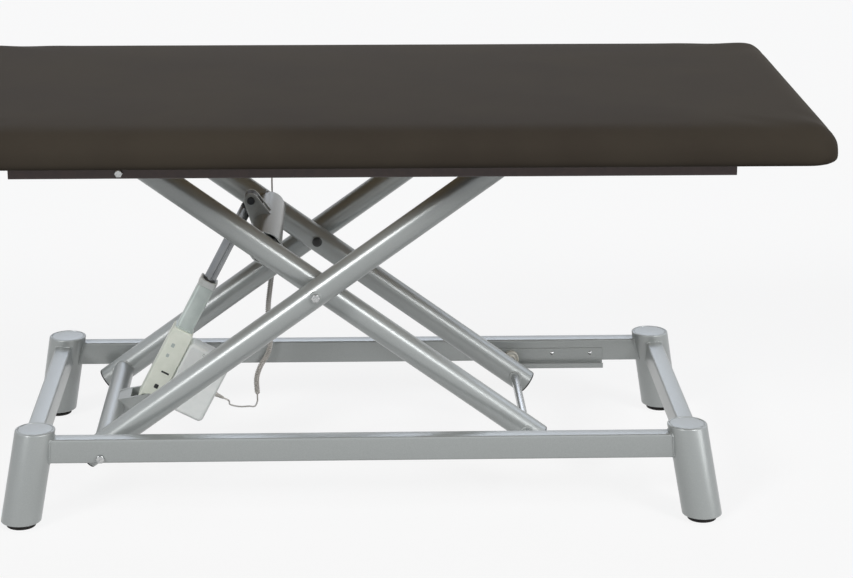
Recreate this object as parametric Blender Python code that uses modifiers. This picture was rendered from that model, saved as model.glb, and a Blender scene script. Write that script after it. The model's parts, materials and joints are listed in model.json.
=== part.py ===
"""Electric scissor-lift therapy table with one large upholstered top.

Metres, +Z up. X runs along the top and +Y points away from the front rail. The origin is on
the floor under the middle of the top. The table stands at a lift angle of 36 degrees.
"""
import math

import bmesh
import bpy
from mathutils import Matrix, Vector

# Upholstered top
PAD_LENGTH = 1.996
PAD_WIDTH = 1.030
PAD_THICKNESS = 0.089
PAD_CROWN = 0.004
PAD_DRAW_IN = 0.003
PAD_EDGE = 0.120
PAD_LOWER_EDGE = 0.018
BOARD_THICKNESS = 0.012
BOARD_MARGIN = 0.040

# Lift geometry
LIFT_ANGLE = math.radians(36.0)
LIFT_LOWEST = math.radians(11.0)
LIFT_HIGHEST = math.radians(37.0)
ARM_LOWER = 0.600
ARM_UPPER = 0.522
PIVOT_ABOVE_RAIL_BASE = 0.011
PIVOT_FROM_MIDDLE = 0.589
BASE_SHIFT = -0.028

# Base frame
LEG_SPACING_X = 1.470
LEG_SPACING_Y = 0.686
LEG_HEIGHT = 0.217
LEG_DIAMETER = 0.091
LEG_WALL = 0.004
LEG_PLATE = 0.006
LEG_LEAN = math.radians(10.0)
FOOT_DIAMETER = 0.066
FOOT_THICKNESS = 0.0125
FOOT_STUD = 0.010
FOOT_STUD_LENGTH = 0.018
RAIL_HEIGHT = 0.056
RAIL_WIDTH = 0.040
RAIL_WALL = 0.003
RAIL_EDGE = 0.004
RAIL_DROP = 0.018

# Top frame
PAD_OVERHANG = 0.205
TOP_RAIL_BELOW_PIVOT = 0.0135
TOP_RAIL_HEIGHT = 0.050
TOP_CROSS_WIDTH = 0.040
TOP_CROSS_HEIGHT = 0.030

# Guide channels and rollers
CHANNEL_HEIGHT = 0.046
CHANNEL_DEPTH = 0.026
CHANNEL_WALL = 0.003
CHANNEL_END = 0.006
ROLLER_RUNNING = 0.0004
ROLLER_SIDE = 0.003
AXLE_DIAMETER = 0.020
AXLE_STUB = 0.012
AXLE_SHOULDER = 0.004
SLOT_CLEARANCE = 0.004

# Scissor arms
ARM_DIAMETER = 0.060
ARM_WALL = 0.003
ARM_END_PLATE = 0.007
ARM_TO_RAIL = 0.031
ARM_GAP = 0.014
ARM_UPPER_END = 0.017
OUTER_LOWER_END = 0.050
INNER_LOWER_END = 0.035
BUSH_DIAMETER = 0.028
BUSH_PROUD = 0.002
PIVOT_BUSH_DIAMETER = 0.038
LOWER_SHAFT = 0.012
UPPER_SHAFT = 0.010
CENTRE_BOLT = 0.012
BOLT_HEAD_HEIGHT = 0.007
BOLT_HEAD_OVER = 0.004
NUT_HEIGHT = 0.010
CAP_FLANGE = 0.003
CAP_SPIGOT = 0.012
PLUG_DIAMETER = 0.024
PLUG_HEIGHT = 0.005
LOWER_CROSS_TUBE = 0.050
UPPER_CROSS_TUBE = 0.076
UPPER_CROSS_FROM_CENTRE = 0.142
CROSS_TUBE_WALL = 0.003

# Actuator, with its two pins as the lower and upper ends of its axis
LOWER_PIN_FROM_PIVOT = (0.083, 0.021)
UPPER_PIN_ALONG_ARM = 0.2116
UPPER_PIN_ABOVE_ARM = 0.0347
PIN_DIAMETER = 0.012
PIN_HEAD_OVER = 0.003
PIN_HEAD_HEIGHT = 0.004
EAR_THICKNESS = 0.006
LOWER_EAR_RADIUS = 0.016
UPPER_EAR_RADIUS = 0.017
LOWER_ROOT_RADIUS = 0.022
UPPER_ROOT_RADIUS = 0.030
LOWER_FORK_ROOM = 0.043
EYE_DIAMETER = 0.032
EYE_WIDTH = 0.031
EYE_NECK = 0.024
EYE_ROOM = 0.005
ROD_DIAMETER = 0.029
ROD_INSIDE = 0.030
TUBE_WIDTH = 0.040
TUBE_DEPTH = 0.044
TUBE_WALL = 0.003
TUBE_EDGE = 0.007
COLLAR_OVER = 0.001
COLLAR_LENGTH = 0.020
COLLAR_ROUNDING = 0.005
COLLAR_SPIGOT = 0.010
TUBE_END = 0.308
MOTOR_WIDTH = 0.052
MOTOR_DEPTH = 0.0626
MOTOR_END = 0.190
MOTOR_ROD_BORE = 0.100
MOTOR_ROUNDING = 0.008
MOTOR_SLOT_LENGTH = 0.043
MOTOR_SLOT_WIDTH = 0.020
BOX_LENGTH = 0.171
BOX_WIDTH = 0.111
BOX_DEPTH = 0.058
BOX_START = 0.001
BOX_ROUNDING = 0.008

# Cable from the control box to the top frame, the second half of it coiled
CORD_DIAMETER = 0.004
CURL_DIAMETER = 0.0100
CURL_COUNT = 42
CURL_POINTS = 8
COIL_Y = 0.3135
BOOT_LENGTH = 0.022
BOOT_DIAMETER = 0.010
BOOT_LIP = 0.0012
BOOT_UP = 0.073
GLAND_LENGTH = 0.026
GLAND_WIDTH = 0.022
GLAND_ROUNDING = 0.002

# Fits and mesh fineness
FIT = 0.0003
RUNNING = 0.0005
ROUND_FINE = 32
ROUND = 24
ROUND_SMALL = 16
BORE_SIDES = 12

# Sizes worked out from the above
LEAN = math.tan(LEG_LEAN)
RAIL_TOP = LEG_HEIGHT - RAIL_DROP
RAIL_MID = RAIL_TOP - RAIL_HEIGHT / 2
PIVOT_HEIGHT = RAIL_TOP - RAIL_HEIGHT + PIVOT_ABOVE_RAIL_BASE
TOP_RAIL_LENGTH = PAD_LENGTH - 2 * PAD_OVERHANG
RAIL_Y = LEG_SPACING_Y / 2 + (LEG_HEIGHT - RAIL_MID) * LEAN
RAIL_X = LEG_SPACING_X / 2 + (LEG_HEIGHT - RAIL_MID) * LEAN
RAIL_INNER = RAIL_Y - RAIL_WIDTH / 2
RAIL_OUTER = RAIL_Y + RAIL_WIDTH / 2
ARM_R = ARM_DIAMETER / 2
OUTER_Y = RAIL_INNER - ARM_TO_RAIL - ARM_R
INNER_Y = OUTER_Y - ARM_DIAMETER - ARM_GAP
PIVOT_X = BASE_SHIFT - PIVOT_FROM_MIDDLE
CENTRE_X = PIVOT_X + ARM_LOWER * math.cos(LIFT_ANGLE)
CENTRE_Z = PIVOT_HEIGHT + ARM_LOWER * math.sin(LIFT_ANGLE)
TOP_PIVOT_X = CENTRE_X - ARM_UPPER * math.cos(LIFT_ANGLE)
TOP_PIVOT_Z = CENTRE_Z + ARM_UPPER * math.sin(LIFT_ANGLE)
TOP_RAIL_BASE = TOP_PIVOT_Z - TOP_RAIL_BELOW_PIVOT
TOP_RAIL_TOP = TOP_RAIL_BASE + TOP_RAIL_HEIGHT
PAD_BASE = TOP_RAIL_TOP + FIT
CHANNEL_BACK = RAIL_INNER - FIT
ROLLER_Y = CHANNEL_BACK - CHANNEL_DEPTH / 2
ROLLER_WIDTH = CHANNEL_DEPTH - 2 * CHANNEL_WALL - 2 * ROLLER_SIDE
ROLLER_RADIUS = CHANNEL_HEIGHT / 2 - CHANNEL_WALL - ROLLER_RUNNING
AXLE_END = CHANNEL_BACK - CHANNEL_DEPTH - AXLE_SHOULDER
BUSH_FACE = OUTER_Y + ARM_R + BUSH_PROUD

# Points and directions of the actuator in the plane y = 0
LOWER_PIN = Vector((PIVOT_X + LOWER_PIN_FROM_PIVOT[0], 0, PIVOT_HEIGHT + LOWER_PIN_FROM_PIVOT[1]))
UPPER_PIN = Vector((
    CENTRE_X - UPPER_PIN_ALONG_ARM * math.cos(LIFT_ANGLE) + UPPER_PIN_ABOVE_ARM * math.sin(LIFT_ANGLE),
    0,
    CENTRE_Z + UPPER_PIN_ALONG_ARM * math.sin(LIFT_ANGLE) + UPPER_PIN_ABOVE_ARM * math.cos(LIFT_ANGLE),
))
ACTUATOR_SPAN = (UPPER_PIN - LOWER_PIN).length
ACTUATOR_ANGLE = math.atan2(UPPER_PIN.z - LOWER_PIN.z, UPPER_PIN.x - LOWER_PIN.x)

for old in list(bpy.data.objects):
    bpy.data.objects.remove(old, do_unlink=True)

PARTS = bpy.data.collections.new("therapy_table")
CUTTERS = bpy.data.collections.new("cutters")
bpy.context.scene.collection.children.link(PARTS)
bpy.context.scene.collection.children.link(CUTTERS)


def finish(name, colour, roughness, metallic):
    """A plain Principled BSDF for one finish."""
    material = bpy.data.materials.new(name)
    material.use_nodes = True
    shader = material.node_tree.nodes["Principled BSDF"]
    shader.inputs["Base Color"].default_value = (*colour, 1.0)
    shader.inputs["Roughness"].default_value = roughness
    shader.inputs["Metallic"].default_value = metallic
    return material


SILVER = finish("silver_paint", (0.33, 0.34, 0.33), 0.38, 0.5)
BROWN = finish("brown_paint", (0.05, 0.033, 0.032), 0.5, 0.0)
VINYL = finish("brown_vinyl", (0.045, 0.039, 0.033), 0.45, 0.0)
PLYWOOD = finish("birch_plywood", (0.55, 0.40, 0.24), 0.7, 0.0)
RUBBER = finish("black_rubber", (0.012, 0.012, 0.012), 0.8, 0.0)
PLASTIC = finish("black_plastic", (0.015, 0.015, 0.016), 0.5, 0.0)
NYLON = finish("white_nylon", (0.75, 0.74, 0.70), 0.5, 0.0)
ZINC = finish("zinc_steel", (0.55, 0.55, 0.54), 0.3, 1.0)
CHROME = finish("chromed_steel", (0.6, 0.6, 0.6), 0.12, 1.0)
HOUSING = finish("cream_abs", (0.60, 0.62, 0.54), 0.5, 0.0)
BOX_GREY = finish("pale_grey_abs", (0.62, 0.65, 0.62), 0.5, 0.0)
ALUMINIUM = finish("grey_aluminium", (0.36, 0.39, 0.38), 0.4, 0.6)
CAST = finish("dark_cast_steel", (0.06, 0.06, 0.065), 0.5, 0.8)
CABLE = finish("grey_pvc", (0.22, 0.22, 0.22), 0.5, 0.0)


def axis_empty(name, location, turn):
    """An empty on a joint axis; its children are placed in the moving piece's own frame."""
    empty = bpy.data.objects.new(name, None)
    empty.location = location
    empty.rotation_euler = (0, turn, 0)
    PARTS.objects.link(empty)
    return empty


OUTER_AXIS = axis_empty("outer_frame_axis", (PIVOT_X, 0, PIVOT_HEIGHT), -LIFT_ANGLE)
INNER_AXIS = axis_empty("inner_frame_axis", (CENTRE_X, 0, CENTRE_Z), LIFT_ANGLE)
TOP_AXIS = axis_empty("top_axis", (TOP_PIVOT_X, 0, TOP_PIVOT_Z), 0)
ACTUATOR_AXIS = axis_empty("actuator_axis", UPPER_PIN, -ACTUATOR_ANGLE)


def place(name, mesh, material=None, axis=None):
    """Link a mesh as a part, or as a cutter when it has no material."""
    thing = bpy.data.objects.new(name, mesh)
    thing.parent = axis
    if material is None:
        CUTTERS.objects.link(thing)
        thing.hide_render = True
        thing.display_type = "WIRE"
    else:
        PARTS.objects.link(thing)
        mesh.materials.append(material)
        mesh.shade_smooth()
        mesh.set_sharp_from_angle(angle=math.radians(35))
    return thing


def boolean(thing, tool, operation="DIFFERENCE"):
    modifier = thing.modifiers.new(tool.name, "BOOLEAN")
    modifier.operation = operation
    modifier.solver = "EXACT"
    modifier.object = tool


def to_mesh(name, bm):
    mesh = bpy.data.meshes.new(name)
    bm.to_mesh(mesh)
    bm.free()
    return mesh


def block(name, low, high, material=None, axis=None, rounding=0.0, segments=2):
    """A box between two corners, with a Bevel where it is rounded."""
    bm = bmesh.new()
    bmesh.ops.create_cube(bm, size=1.0)
    size = Vector(high) - Vector(low)
    middle = (Vector(high) + Vector(low)) / 2
    bmesh.ops.transform(bm, matrix=Matrix.Translation(middle) @ Matrix.Diagonal((*size, 1)), verts=bm.verts)
    thing = place(name, to_mesh(name, bm), material, axis)
    if rounding:
        bevel = thing.modifiers.new("rounding", "BEVEL")
        bevel.width = rounding
        bevel.segments = segments
    return thing


QUARTER_TURN = math.pi / 2
TURN_TO = {
    "X": Matrix.Rotation(QUARTER_TURN, 4, "Y"), "Y": Matrix.Rotation(-QUARTER_TURN, 4, "X"), "Z": Matrix(),
}


def rod(name, direction, centre, start, end, diameter, material=None, axis=None, sides=ROUND):
    """A cylinder along X, Y or Z from start to end on that axis, through the point centre."""
    bm = bmesh.new()
    bmesh.ops.create_cone(
        bm, cap_ends=True, segments=sides, radius1=diameter / 2, radius2=diameter / 2, depth=end - start)
    along = TURN_TO[direction] @ Matrix.Translation((0, 0, (start + end) / 2))
    bmesh.ops.transform(bm, matrix=Matrix.Translation(centre) @ along, verts=bm.verts)
    return place(name, to_mesh(name, bm), material, axis)


def turned(name, direction, centre, profile, material, axis=None, closed=False, sides=ROUND):
    """A profile of (radius, height) points, outer side from top to bottom, turned by a Screw."""
    bm = bmesh.new()
    points = [bm.verts.new((radius, 0, height)) for radius, height in profile]
    for first, second in zip(points, points[1:]):
        bm.edges.new((first, second))
    if closed:
        bm.edges.new((points[-1], points[0]))
    thing = place(name, to_mesh(name, bm), material, axis)
    thing.matrix_local = Matrix.Translation(centre) @ TURN_TO[direction]
    screw = thing.modifiers.new("turning", "SCREW")
    screw.axis = "Z"
    screw.steps = sides
    screw.render_steps = sides
    screw.use_merge_vertices = True
    screw.merge_threshold = 0.00005
    screw.use_smooth_shade = True
    return thing


def extruded(name, outline, start, end, plane, material=None, axis=None):
    """A flat outline given depth: plane XZ extrudes along Y, plane YZ along X."""
    curve = bpy.data.curves.new(name, "CURVE")
    curve.dimensions = "2D"
    curve.fill_mode = "BOTH"
    curve.extrude = (end - start) / 2
    spline = curve.splines.new("POLY")
    spline.points.add(len(outline) - 1)
    for point, (across, up) in zip(spline.points, outline):
        point.co = (across, up, 0, 1)
    spline.use_cyclic_u = True
    drawn = bpy.data.objects.new(name + "_outline", curve)
    PARTS.objects.link(drawn)
    solid = bpy.data.meshes.new_from_object(drawn.evaluated_get(bpy.context.evaluated_depsgraph_get()))
    bpy.data.objects.remove(drawn)
    stand = Matrix.Rotation(math.pi / 2, 4, "X")
    if plane == "YZ":
        stand = Matrix.Rotation(math.pi / 2, 4, "Z") @ stand
    shift = Vector((0, (start + end) / 2, 0)) if plane == "XZ" else Vector(((start + end) / 2, 0, 0))
    bm = bmesh.new()
    bm.from_mesh(solid)
    bmesh.ops.remove_doubles(bm, verts=bm.verts, dist=0.00001)
    bmesh.ops.transform(bm, matrix=Matrix.Translation(shift) @ stand, verts=bm.verts)
    bmesh.ops.recalc_face_normals(bm, faces=bm.faces)
    bpy.data.meshes.remove(solid)
    return place(name, to_mesh(name, bm), material, axis)


def arc(centre, radius, start, end, steps):
    """Points on a circle between two angles, both ends included."""
    angles = [start + (end - start) * step / steps for step in range(steps + 1)]
    return [(centre[0] + radius * math.cos(a), centre[1] + radius * math.sin(a)) for a in angles]


def link_outline(small, small_radius, large, large_radius, steps=10):
    """The tapered outline round two circles of unlike radius, joined by their outer tangents."""
    run = math.hypot(large[0] - small[0], large[1] - small[1])
    heading = math.atan2(large[1] - small[1], large[0] - small[0])
    spread = math.acos((small_radius - large_radius) / run)
    near = arc(small, small_radius, heading + spread, heading + 2 * math.pi - spread, steps)
    far = arc(large, large_radius, heading - spread, heading + spread, steps)
    return near + far


# Legs: tubes that lean out to their corner, closed by a plate at each end, with a rubber foot
CORNERS = {
    "front_left": (-1, -1), "front_right": (1, -1), "rear_left": (-1, 1), "rear_right": (1, 1),
}


def leaning_tube(name, side, radius, low, high, material=None):
    """An upright cylinder sheared so that its foot stands further out than its top."""
    bm = bmesh.new()
    bmesh.ops.create_cone(
        bm, cap_ends=True, segments=ROUND_FINE, radius1=radius, radius2=radius, depth=high - low)
    bmesh.ops.translate(bm, vec=(0, 0, (high + low) / 2 - LEG_HEIGHT), verts=bm.verts)
    lean = Matrix.Identity(4)
    lean[0][2] = -side[0] * LEAN
    lean[1][2] = -side[1] * LEAN
    top = Matrix.Translation(
        (BASE_SHIFT + side[0] * LEG_SPACING_X / 2, side[1] * LEG_SPACING_Y / 2, LEG_HEIGHT))
    bmesh.ops.transform(bm, matrix=top @ lean, verts=bm.verts)
    return place(name, to_mesh(name, bm), material)


LEG_CLEARANCE = {}
for corner, side in CORNERS.items():
    radius = LEG_DIAMETER / 2
    leg = leaning_tube("leg_" + corner, side, radius, FOOT_THICKNESS, LEG_HEIGHT, SILVER)
    hollow = leaning_tube("leg_hollow_" + corner, side, radius - LEG_WALL,
                          FOOT_THICKNESS + LEG_PLATE, LEG_HEIGHT - LEG_PLATE)
    LEG_CLEARANCE[corner] = leaning_tube("leg_seat_" + corner, side, radius + FIT, 0, LEG_HEIGHT + RAIL_DROP)
    drop = LEG_HEIGHT - FOOT_THICKNESS
    foot_x = BASE_SHIFT + side[0] * (LEG_SPACING_X / 2 + drop * LEAN)
    foot_y = side[1] * (LEG_SPACING_Y / 2 + drop * LEAN)
    stud_hole = rod("stud_hole_" + corner, "Z", (foot_x, foot_y, 0), 0,
                    FOOT_THICKNESS + 2 * LEG_PLATE, FOOT_STUD + 2 * FIT, sides=ROUND_SMALL)
    boolean(leg, stud_hole)
    boolean(leg, hollow)
    pad_top = FOOT_THICKNESS - FIT
    stud_top = pad_top + FOOT_STUD_LENGTH
    turned("foot_" + corner, "Z", (foot_x, foot_y, 0), [
        (0, stud_top), (FOOT_STUD / 2, stud_top), (FOOT_STUD / 2, pad_top), (FOOT_DIAMETER / 2, pad_top),
        (FOOT_DIAMETER / 2, FOOT_THICKNESS / 4), (FOOT_DIAMETER / 2 - FOOT_THICKNESS / 4, 0), (0, 0),
    ], RUBBER, sides=ROUND_SMALL)


# Rectangular steel tubes: the base rails are coped to the legs, the top rails have open ends
def rectangular_tube(name, low, high, material, along, axis=None, edge=RAIL_EDGE, thick=RAIL_WALL):
    """A box tube with rounded long edges, open at both ends along X or Y."""
    index = "XYZ".index(along)
    size = Vector(high) - Vector(low)
    bm = bmesh.new()
    bmesh.ops.create_cube(bm, size=1.0)
    middle = Matrix.Translation((Vector(high) + Vector(low)) / 2)
    bmesh.ops.transform(bm, matrix=middle @ Matrix.Diagonal((*size, 1)), verts=bm.verts)
    long_edges = [e for e in bm.edges if abs((e.verts[0].co - e.verts[1].co)[index]) > size[index] / 2]
    bmesh.ops.bevel(bm, geom=long_edges, offset=edge, segments=2, profile=0.5, affect="EDGES")
    tube = place(name, to_mesh(name, bm), material, axis)
    wall = Vector((thick, thick, thick))
    wall[index] = -thick
    boolean(tube, block(name + "_inside", Vector(low) + wall, Vector(high) - wall, axis=axis))
    return tube


LOWER_SHAFT_HOLE = rod("lower_shaft_hole", "Y", (PIVOT_X, 0, PIVOT_HEIGHT), -RAIL_OUTER - RAIL_WIDTH,
                       RAIL_OUTER + RAIL_WIDTH, LOWER_SHAFT + 2 * FIT, sides=ROUND_SMALL)
for end, sign in (("front", -1), ("rear", 1)):
    rail = rectangular_tube(
        "base_rail_" + end,
        (BASE_SHIFT - RAIL_X, sign * RAIL_Y - RAIL_WIDTH / 2, RAIL_TOP - RAIL_HEIGHT),
        (BASE_SHIFT + RAIL_X, sign * RAIL_Y + RAIL_WIDTH / 2, RAIL_TOP), SILVER, "X")
    boolean(rail, LEG_CLEARANCE[end + "_left"])
    boolean(rail, LEG_CLEARANCE[end + "_right"])
    boolean(rail, LOWER_SHAFT_HOLE)
for end, sign in (("left", -1), ("right", 1)):
    rail = rectangular_tube(
        "base_rail_" + end,
        (BASE_SHIFT + sign * RAIL_X - RAIL_WIDTH / 2, -RAIL_Y, RAIL_TOP - RAIL_HEIGHT),
        (BASE_SHIFT + sign * RAIL_X + RAIL_WIDTH / 2, RAIL_Y, RAIL_TOP), SILVER, "Y")
    boolean(rail, LEG_CLEARANCE["front_" + end])
    boolean(rail, LEG_CLEARANCE["rear_" + end])


# Guides for the axle rollers on the inner faces of the rails: open troughs on the base, where the
# weight holds the rollers down, and lipped channels under the top
def guide_outline(sign, middle, lipped):
    """Section of a guide whose open side faces the middle of the table."""
    half = CHANNEL_HEIGHT / 2
    slot = AXLE_STUB / 2 + SLOT_CLEARANCE
    back, lip = -CHANNEL_WALL, CHANNEL_WALL - CHANNEL_DEPTH
    below = [(back, -half + CHANNEL_WALL), (lip, -half + CHANNEL_WALL), (lip, -slot), (-CHANNEL_DEPTH, -slot),
             (-CHANNEL_DEPTH, -half), (0, -half)]
    above = [(-CHANNEL_DEPTH, half), (-CHANNEL_DEPTH, slot), (lip, slot), (lip, half - CHANNEL_WALL),
             (back, half - CHANNEL_WALL)]
    section = [(0, half)] + (above if lipped else [(back, half)]) + below
    return [(sign * (CHANNEL_BACK + across), middle + up) for across, up in section]


ROLLER_REACH = ROLLER_RADIUS + CHANNEL_END
BASE_RUN = [PIVOT_X + 2 * ARM_LOWER * math.cos(a) for a in (LIFT_HIGHEST, LIFT_LOWEST)]
TOP_RUN = [2 * ARM_UPPER * math.cos(a) for a in (LIFT_HIGHEST, LIFT_LOWEST)]
for end, sign in (("front", -1), ("rear", 1)):
    extruded("base_channel_" + end, guide_outline(sign, PIVOT_HEIGHT, False),
             BASE_RUN[0] - ROLLER_REACH, BASE_RUN[1] + ROLLER_REACH, "YZ", SILVER)
    extruded("top_channel_" + end, guide_outline(sign, 0, True),
             TOP_RUN[0] - ROLLER_REACH, TOP_RUN[1] + ROLLER_REACH, "YZ", ZINC, TOP_AXIS)


# Pivot shafts: long hexagon bolts from rail to rail, each with a nut behind the rear rail
def hexagon(name, centre, start, end, across, material=None, axis=None):
    return rod(name, "Y", centre, start, end, across, material, axis, sides=6)


def shaft(name, centre, diameter, axis=None):
    head = diameter + 2 * BOLT_HEAD_OVER
    seat = RAIL_OUTER + FIT
    bolt = rod(name, "Y", centre, -seat - BOLT_HEAD_HEIGHT / 2, seat + NUT_HEIGHT + RUNNING, diameter, ZINC,
               axis, sides=ROUND_SMALL)
    boolean(bolt, hexagon(name + "_head", centre, -seat - BOLT_HEAD_HEIGHT, -seat, head, axis=axis), "UNION")
    nut = hexagon(name.replace("shaft", "nut"), centre, seat, seat + NUT_HEIGHT, head, ZINC, axis)
    boolean(nut, rod(name + "_nut_hole", "Y", centre, RAIL_OUTER - RAIL_WALL, seat + 2 * NUT_HEIGHT,
                     diameter + 2 * FIT, axis=axis, sides=ROUND_SMALL))


shaft("lower_pivot_shaft", (PIVOT_X, 0, PIVOT_HEIGHT), LOWER_SHAFT)
shaft("upper_pivot_shaft", (0, 0, 0), UPPER_SHAFT, TOP_AXIS)


# Scissor arms: round tubes with bearing bushes welded across them
def arm(name, y, start, end, bored_end, bushes, axis):
    """A tube along X, bored from one end, with (x, bush span, bush and hole diameter) cross bushes."""
    tube = rod(name, "X", (0, y, 0), start, end, ARM_DIAMETER, SILVER, axis)
    bore_start = start - ARM_WALL if bored_end == "start" else start + ARM_END_PLATE
    bore_end = end - ARM_END_PLATE if bored_end == "start" else end + ARM_WALL
    boolean(tube, rod(name + "_bore", "X", (0, y, 0), bore_start, bore_end,
                      ARM_DIAMETER - 2 * ARM_WALL, axis=axis, sides=BORE_SIDES))
    for number, (x, near, far, outside, hole) in enumerate(bushes):
        low, high = sorted((near, far))
        label = f"{name}_bush_{number}"
        boolean(tube, rod(label, "Y", (x, 0, 0), low, high, outside, axis=axis, sides=BORE_SIDES), "UNION")
        boolean(tube, rod(label + "_hole", "Y", (x, 0, 0), low - ARM_WALL, high + ARM_WALL, hole + 2 * FIT,
                          axis=axis, sides=ROUND_SMALL))
    return tube


def end_cap(name, y, x, outward, axis):
    """A black plug pushed into an arm's open lower end; outward is the sign of its flange along X."""
    flange = ARM_R - FIT
    spigot = (ARM_R - ARM_WALL) * math.cos(math.pi / BORE_SIDES) - FIT
    face = FIT + CAP_FLANGE
    cap = turned(name, "X", (0, 0, 0), [
        (0, face), (flange - CAP_FLANGE / 2, face), (flange, face - CAP_FLANGE / 2), (flange, FIT),
        (spigot, FIT), (spigot, -CAP_SPIGOT), (0, -CAP_SPIGOT),
    ], PLASTIC, axis, sides=ROUND)
    turn = Matrix.Rotation(math.pi / 2 * outward, 4, "Y")
    cap.matrix_local = Matrix.Translation((x, y, 0)) @ turn


for end, sign in (("front", -1), ("rear", 1)):
    inside = sign * (OUTER_Y - ARM_R - BUSH_PROUD)
    outer_end = ARM_LOWER + ARM_UPPER + ARM_UPPER_END
    arm("outer_arm_" + end, sign * OUTER_Y, -OUTER_LOWER_END, outer_end, "start", [
        (0, inside, sign * (RAIL_INNER - RUNNING), PIVOT_BUSH_DIAMETER, LOWER_SHAFT),
        (ARM_LOWER, inside, sign * BUSH_FACE, BUSH_DIAMETER, CENTRE_BOLT),
        (ARM_LOWER + ARM_UPPER, inside, sign * BUSH_FACE, BUSH_DIAMETER, AXLE_DIAMETER),
    ], OUTER_AXIS)
    end_cap("outer_arm_cap_" + end, sign * OUTER_Y, -OUTER_LOWER_END, -1, OUTER_AXIS)
    inside = sign * (INNER_Y - ARM_R - BUSH_PROUD)
    outside = sign * (INNER_Y + ARM_R + BUSH_PROUD)
    arm("inner_arm_" + end, sign * INNER_Y, -ARM_UPPER - ARM_UPPER_END, ARM_LOWER + INNER_LOWER_END, "end", [
        (0, inside, sign * (OUTER_Y - ARM_R - BUSH_PROUD - RUNNING), BUSH_DIAMETER, CENTRE_BOLT),
        (-ARM_UPPER, inside, outside, BUSH_DIAMETER, UPPER_SHAFT),
        (ARM_LOWER, inside, outside, BUSH_DIAMETER, AXLE_DIAMETER),
    ], INNER_AXIS)
    end_cap("inner_arm_cap_" + end, sign * INNER_Y, ARM_LOWER + INNER_LOWER_END, 1, INNER_AXIS)

    # Centre bolt from the outer arm through the inner one, and the plug over its end
    bolt_end = INNER_Y - ARM_R - BUSH_PROUD
    seat = BUSH_FACE + FIT
    span = sorted((sign * bolt_end, sign * (seat + BOLT_HEAD_HEIGHT / 2)))
    bolt = rod("centre_bolt_" + end, "Y", (ARM_LOWER, 0, 0), *span, CENTRE_BOLT, ZINC, OUTER_AXIS,
               sides=ROUND_SMALL)
    span = sorted((sign * seat, sign * (seat + BOLT_HEAD_HEIGHT)))
    boolean(bolt, hexagon("centre_bolt_head_" + end, (ARM_LOWER, 0, 0), *span,
                          CENTRE_BOLT + 2 * BOLT_HEAD_OVER, axis=OUTER_AXIS), "UNION")
    plug = turned("centre_plug_" + end, "Y", (0, 0, 0), [
        (0, PLUG_HEIGHT), (PLUG_DIAMETER / 4, PLUG_HEIGHT * 0.92), (PLUG_DIAMETER / 2, PLUG_HEIGHT * 0.45),
        (PLUG_DIAMETER / 2, 0), (0, 0),
    ], PLASTIC, INNER_AXIS, sides=ROUND_SMALL)
    plug.matrix_local = Matrix.Translation((0, sign * (bolt_end - FIT), 0)) @ Matrix.Rotation(
        math.pi / 2 * sign, 4, "X")


# Cross tubes between each pair of arms, with their ends coped to the arms
def cross_tube(name, x, y, diameter, reach, axis):
    tube = rod(name, "Y", (x, 0, 0), -reach, reach, diameter, SILVER, axis, sides=ROUND)
    boolean(tube, rod(name + "_bore", "Y", (x, 0, 0), -reach - ARM_R, reach + ARM_R,
                      diameter - 2 * CROSS_TUBE_WALL, axis=axis, sides=ROUND))
    for side in (-1, 1):
        boolean(tube, rod(f"{name}_cope_{side}", "X", (0, side * y, 0), x - diameter, x + diameter,
                          ARM_DIAMETER + 2 * FIT, axis=axis, sides=ROUND))


cross_tube("lower_cross_tube", 0, OUTER_Y, LOWER_CROSS_TUBE, OUTER_Y, OUTER_AXIS)
cross_tube("upper_cross_tube", -UPPER_CROSS_FROM_CENTRE, INNER_Y, UPPER_CROSS_TUBE, INNER_Y - ARM_R / 3,
           INNER_AXIS)


# Axles through the sliding ends of the arms, and a roller on each stub
def axle(name, x, axis):
    stub_end = ROLLER_Y + ROLLER_WIDTH / 2 + ROLLER_SIDE / 2
    turned(name, "Y", (x, 0, 0), [
        (0, stub_end), (AXLE_STUB / 2, stub_end), (AXLE_STUB / 2, AXLE_END), (AXLE_DIAMETER / 2, AXLE_END),
        (AXLE_DIAMETER / 2, -AXLE_END), (AXLE_STUB / 2, -AXLE_END), (AXLE_STUB / 2, -stub_end),
        (0, -stub_end),
    ], ZINC, axis, sides=ROUND_SMALL)


def roller(name, x, sign, axis):
    half = ROLLER_WIDTH / 2
    bevel = ROLLER_WIDTH / 8
    bore = AXLE_STUB / 2 + FIT
    turned(name, "Y", (x, sign * ROLLER_Y, 0), [
        (bore, half), (ROLLER_RADIUS - bevel, half), (ROLLER_RADIUS, half - bevel),
        (ROLLER_RADIUS, -half + bevel), (ROLLER_RADIUS - bevel, -half), (bore, -half),
    ], NYLON, axis, closed=True, sides=ROUND)


axle("upper_axle", ARM_LOWER + ARM_UPPER, OUTER_AXIS)
axle("lower_axle", ARM_LOWER, INNER_AXIS)
for end, sign in (("front", -1), ("rear", 1)):
    roller("upper_roller_" + end, ARM_LOWER + ARM_UPPER, sign, OUTER_AXIS)
    roller("lower_roller_" + end, ARM_LOWER, sign, INNER_AXIS)


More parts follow.
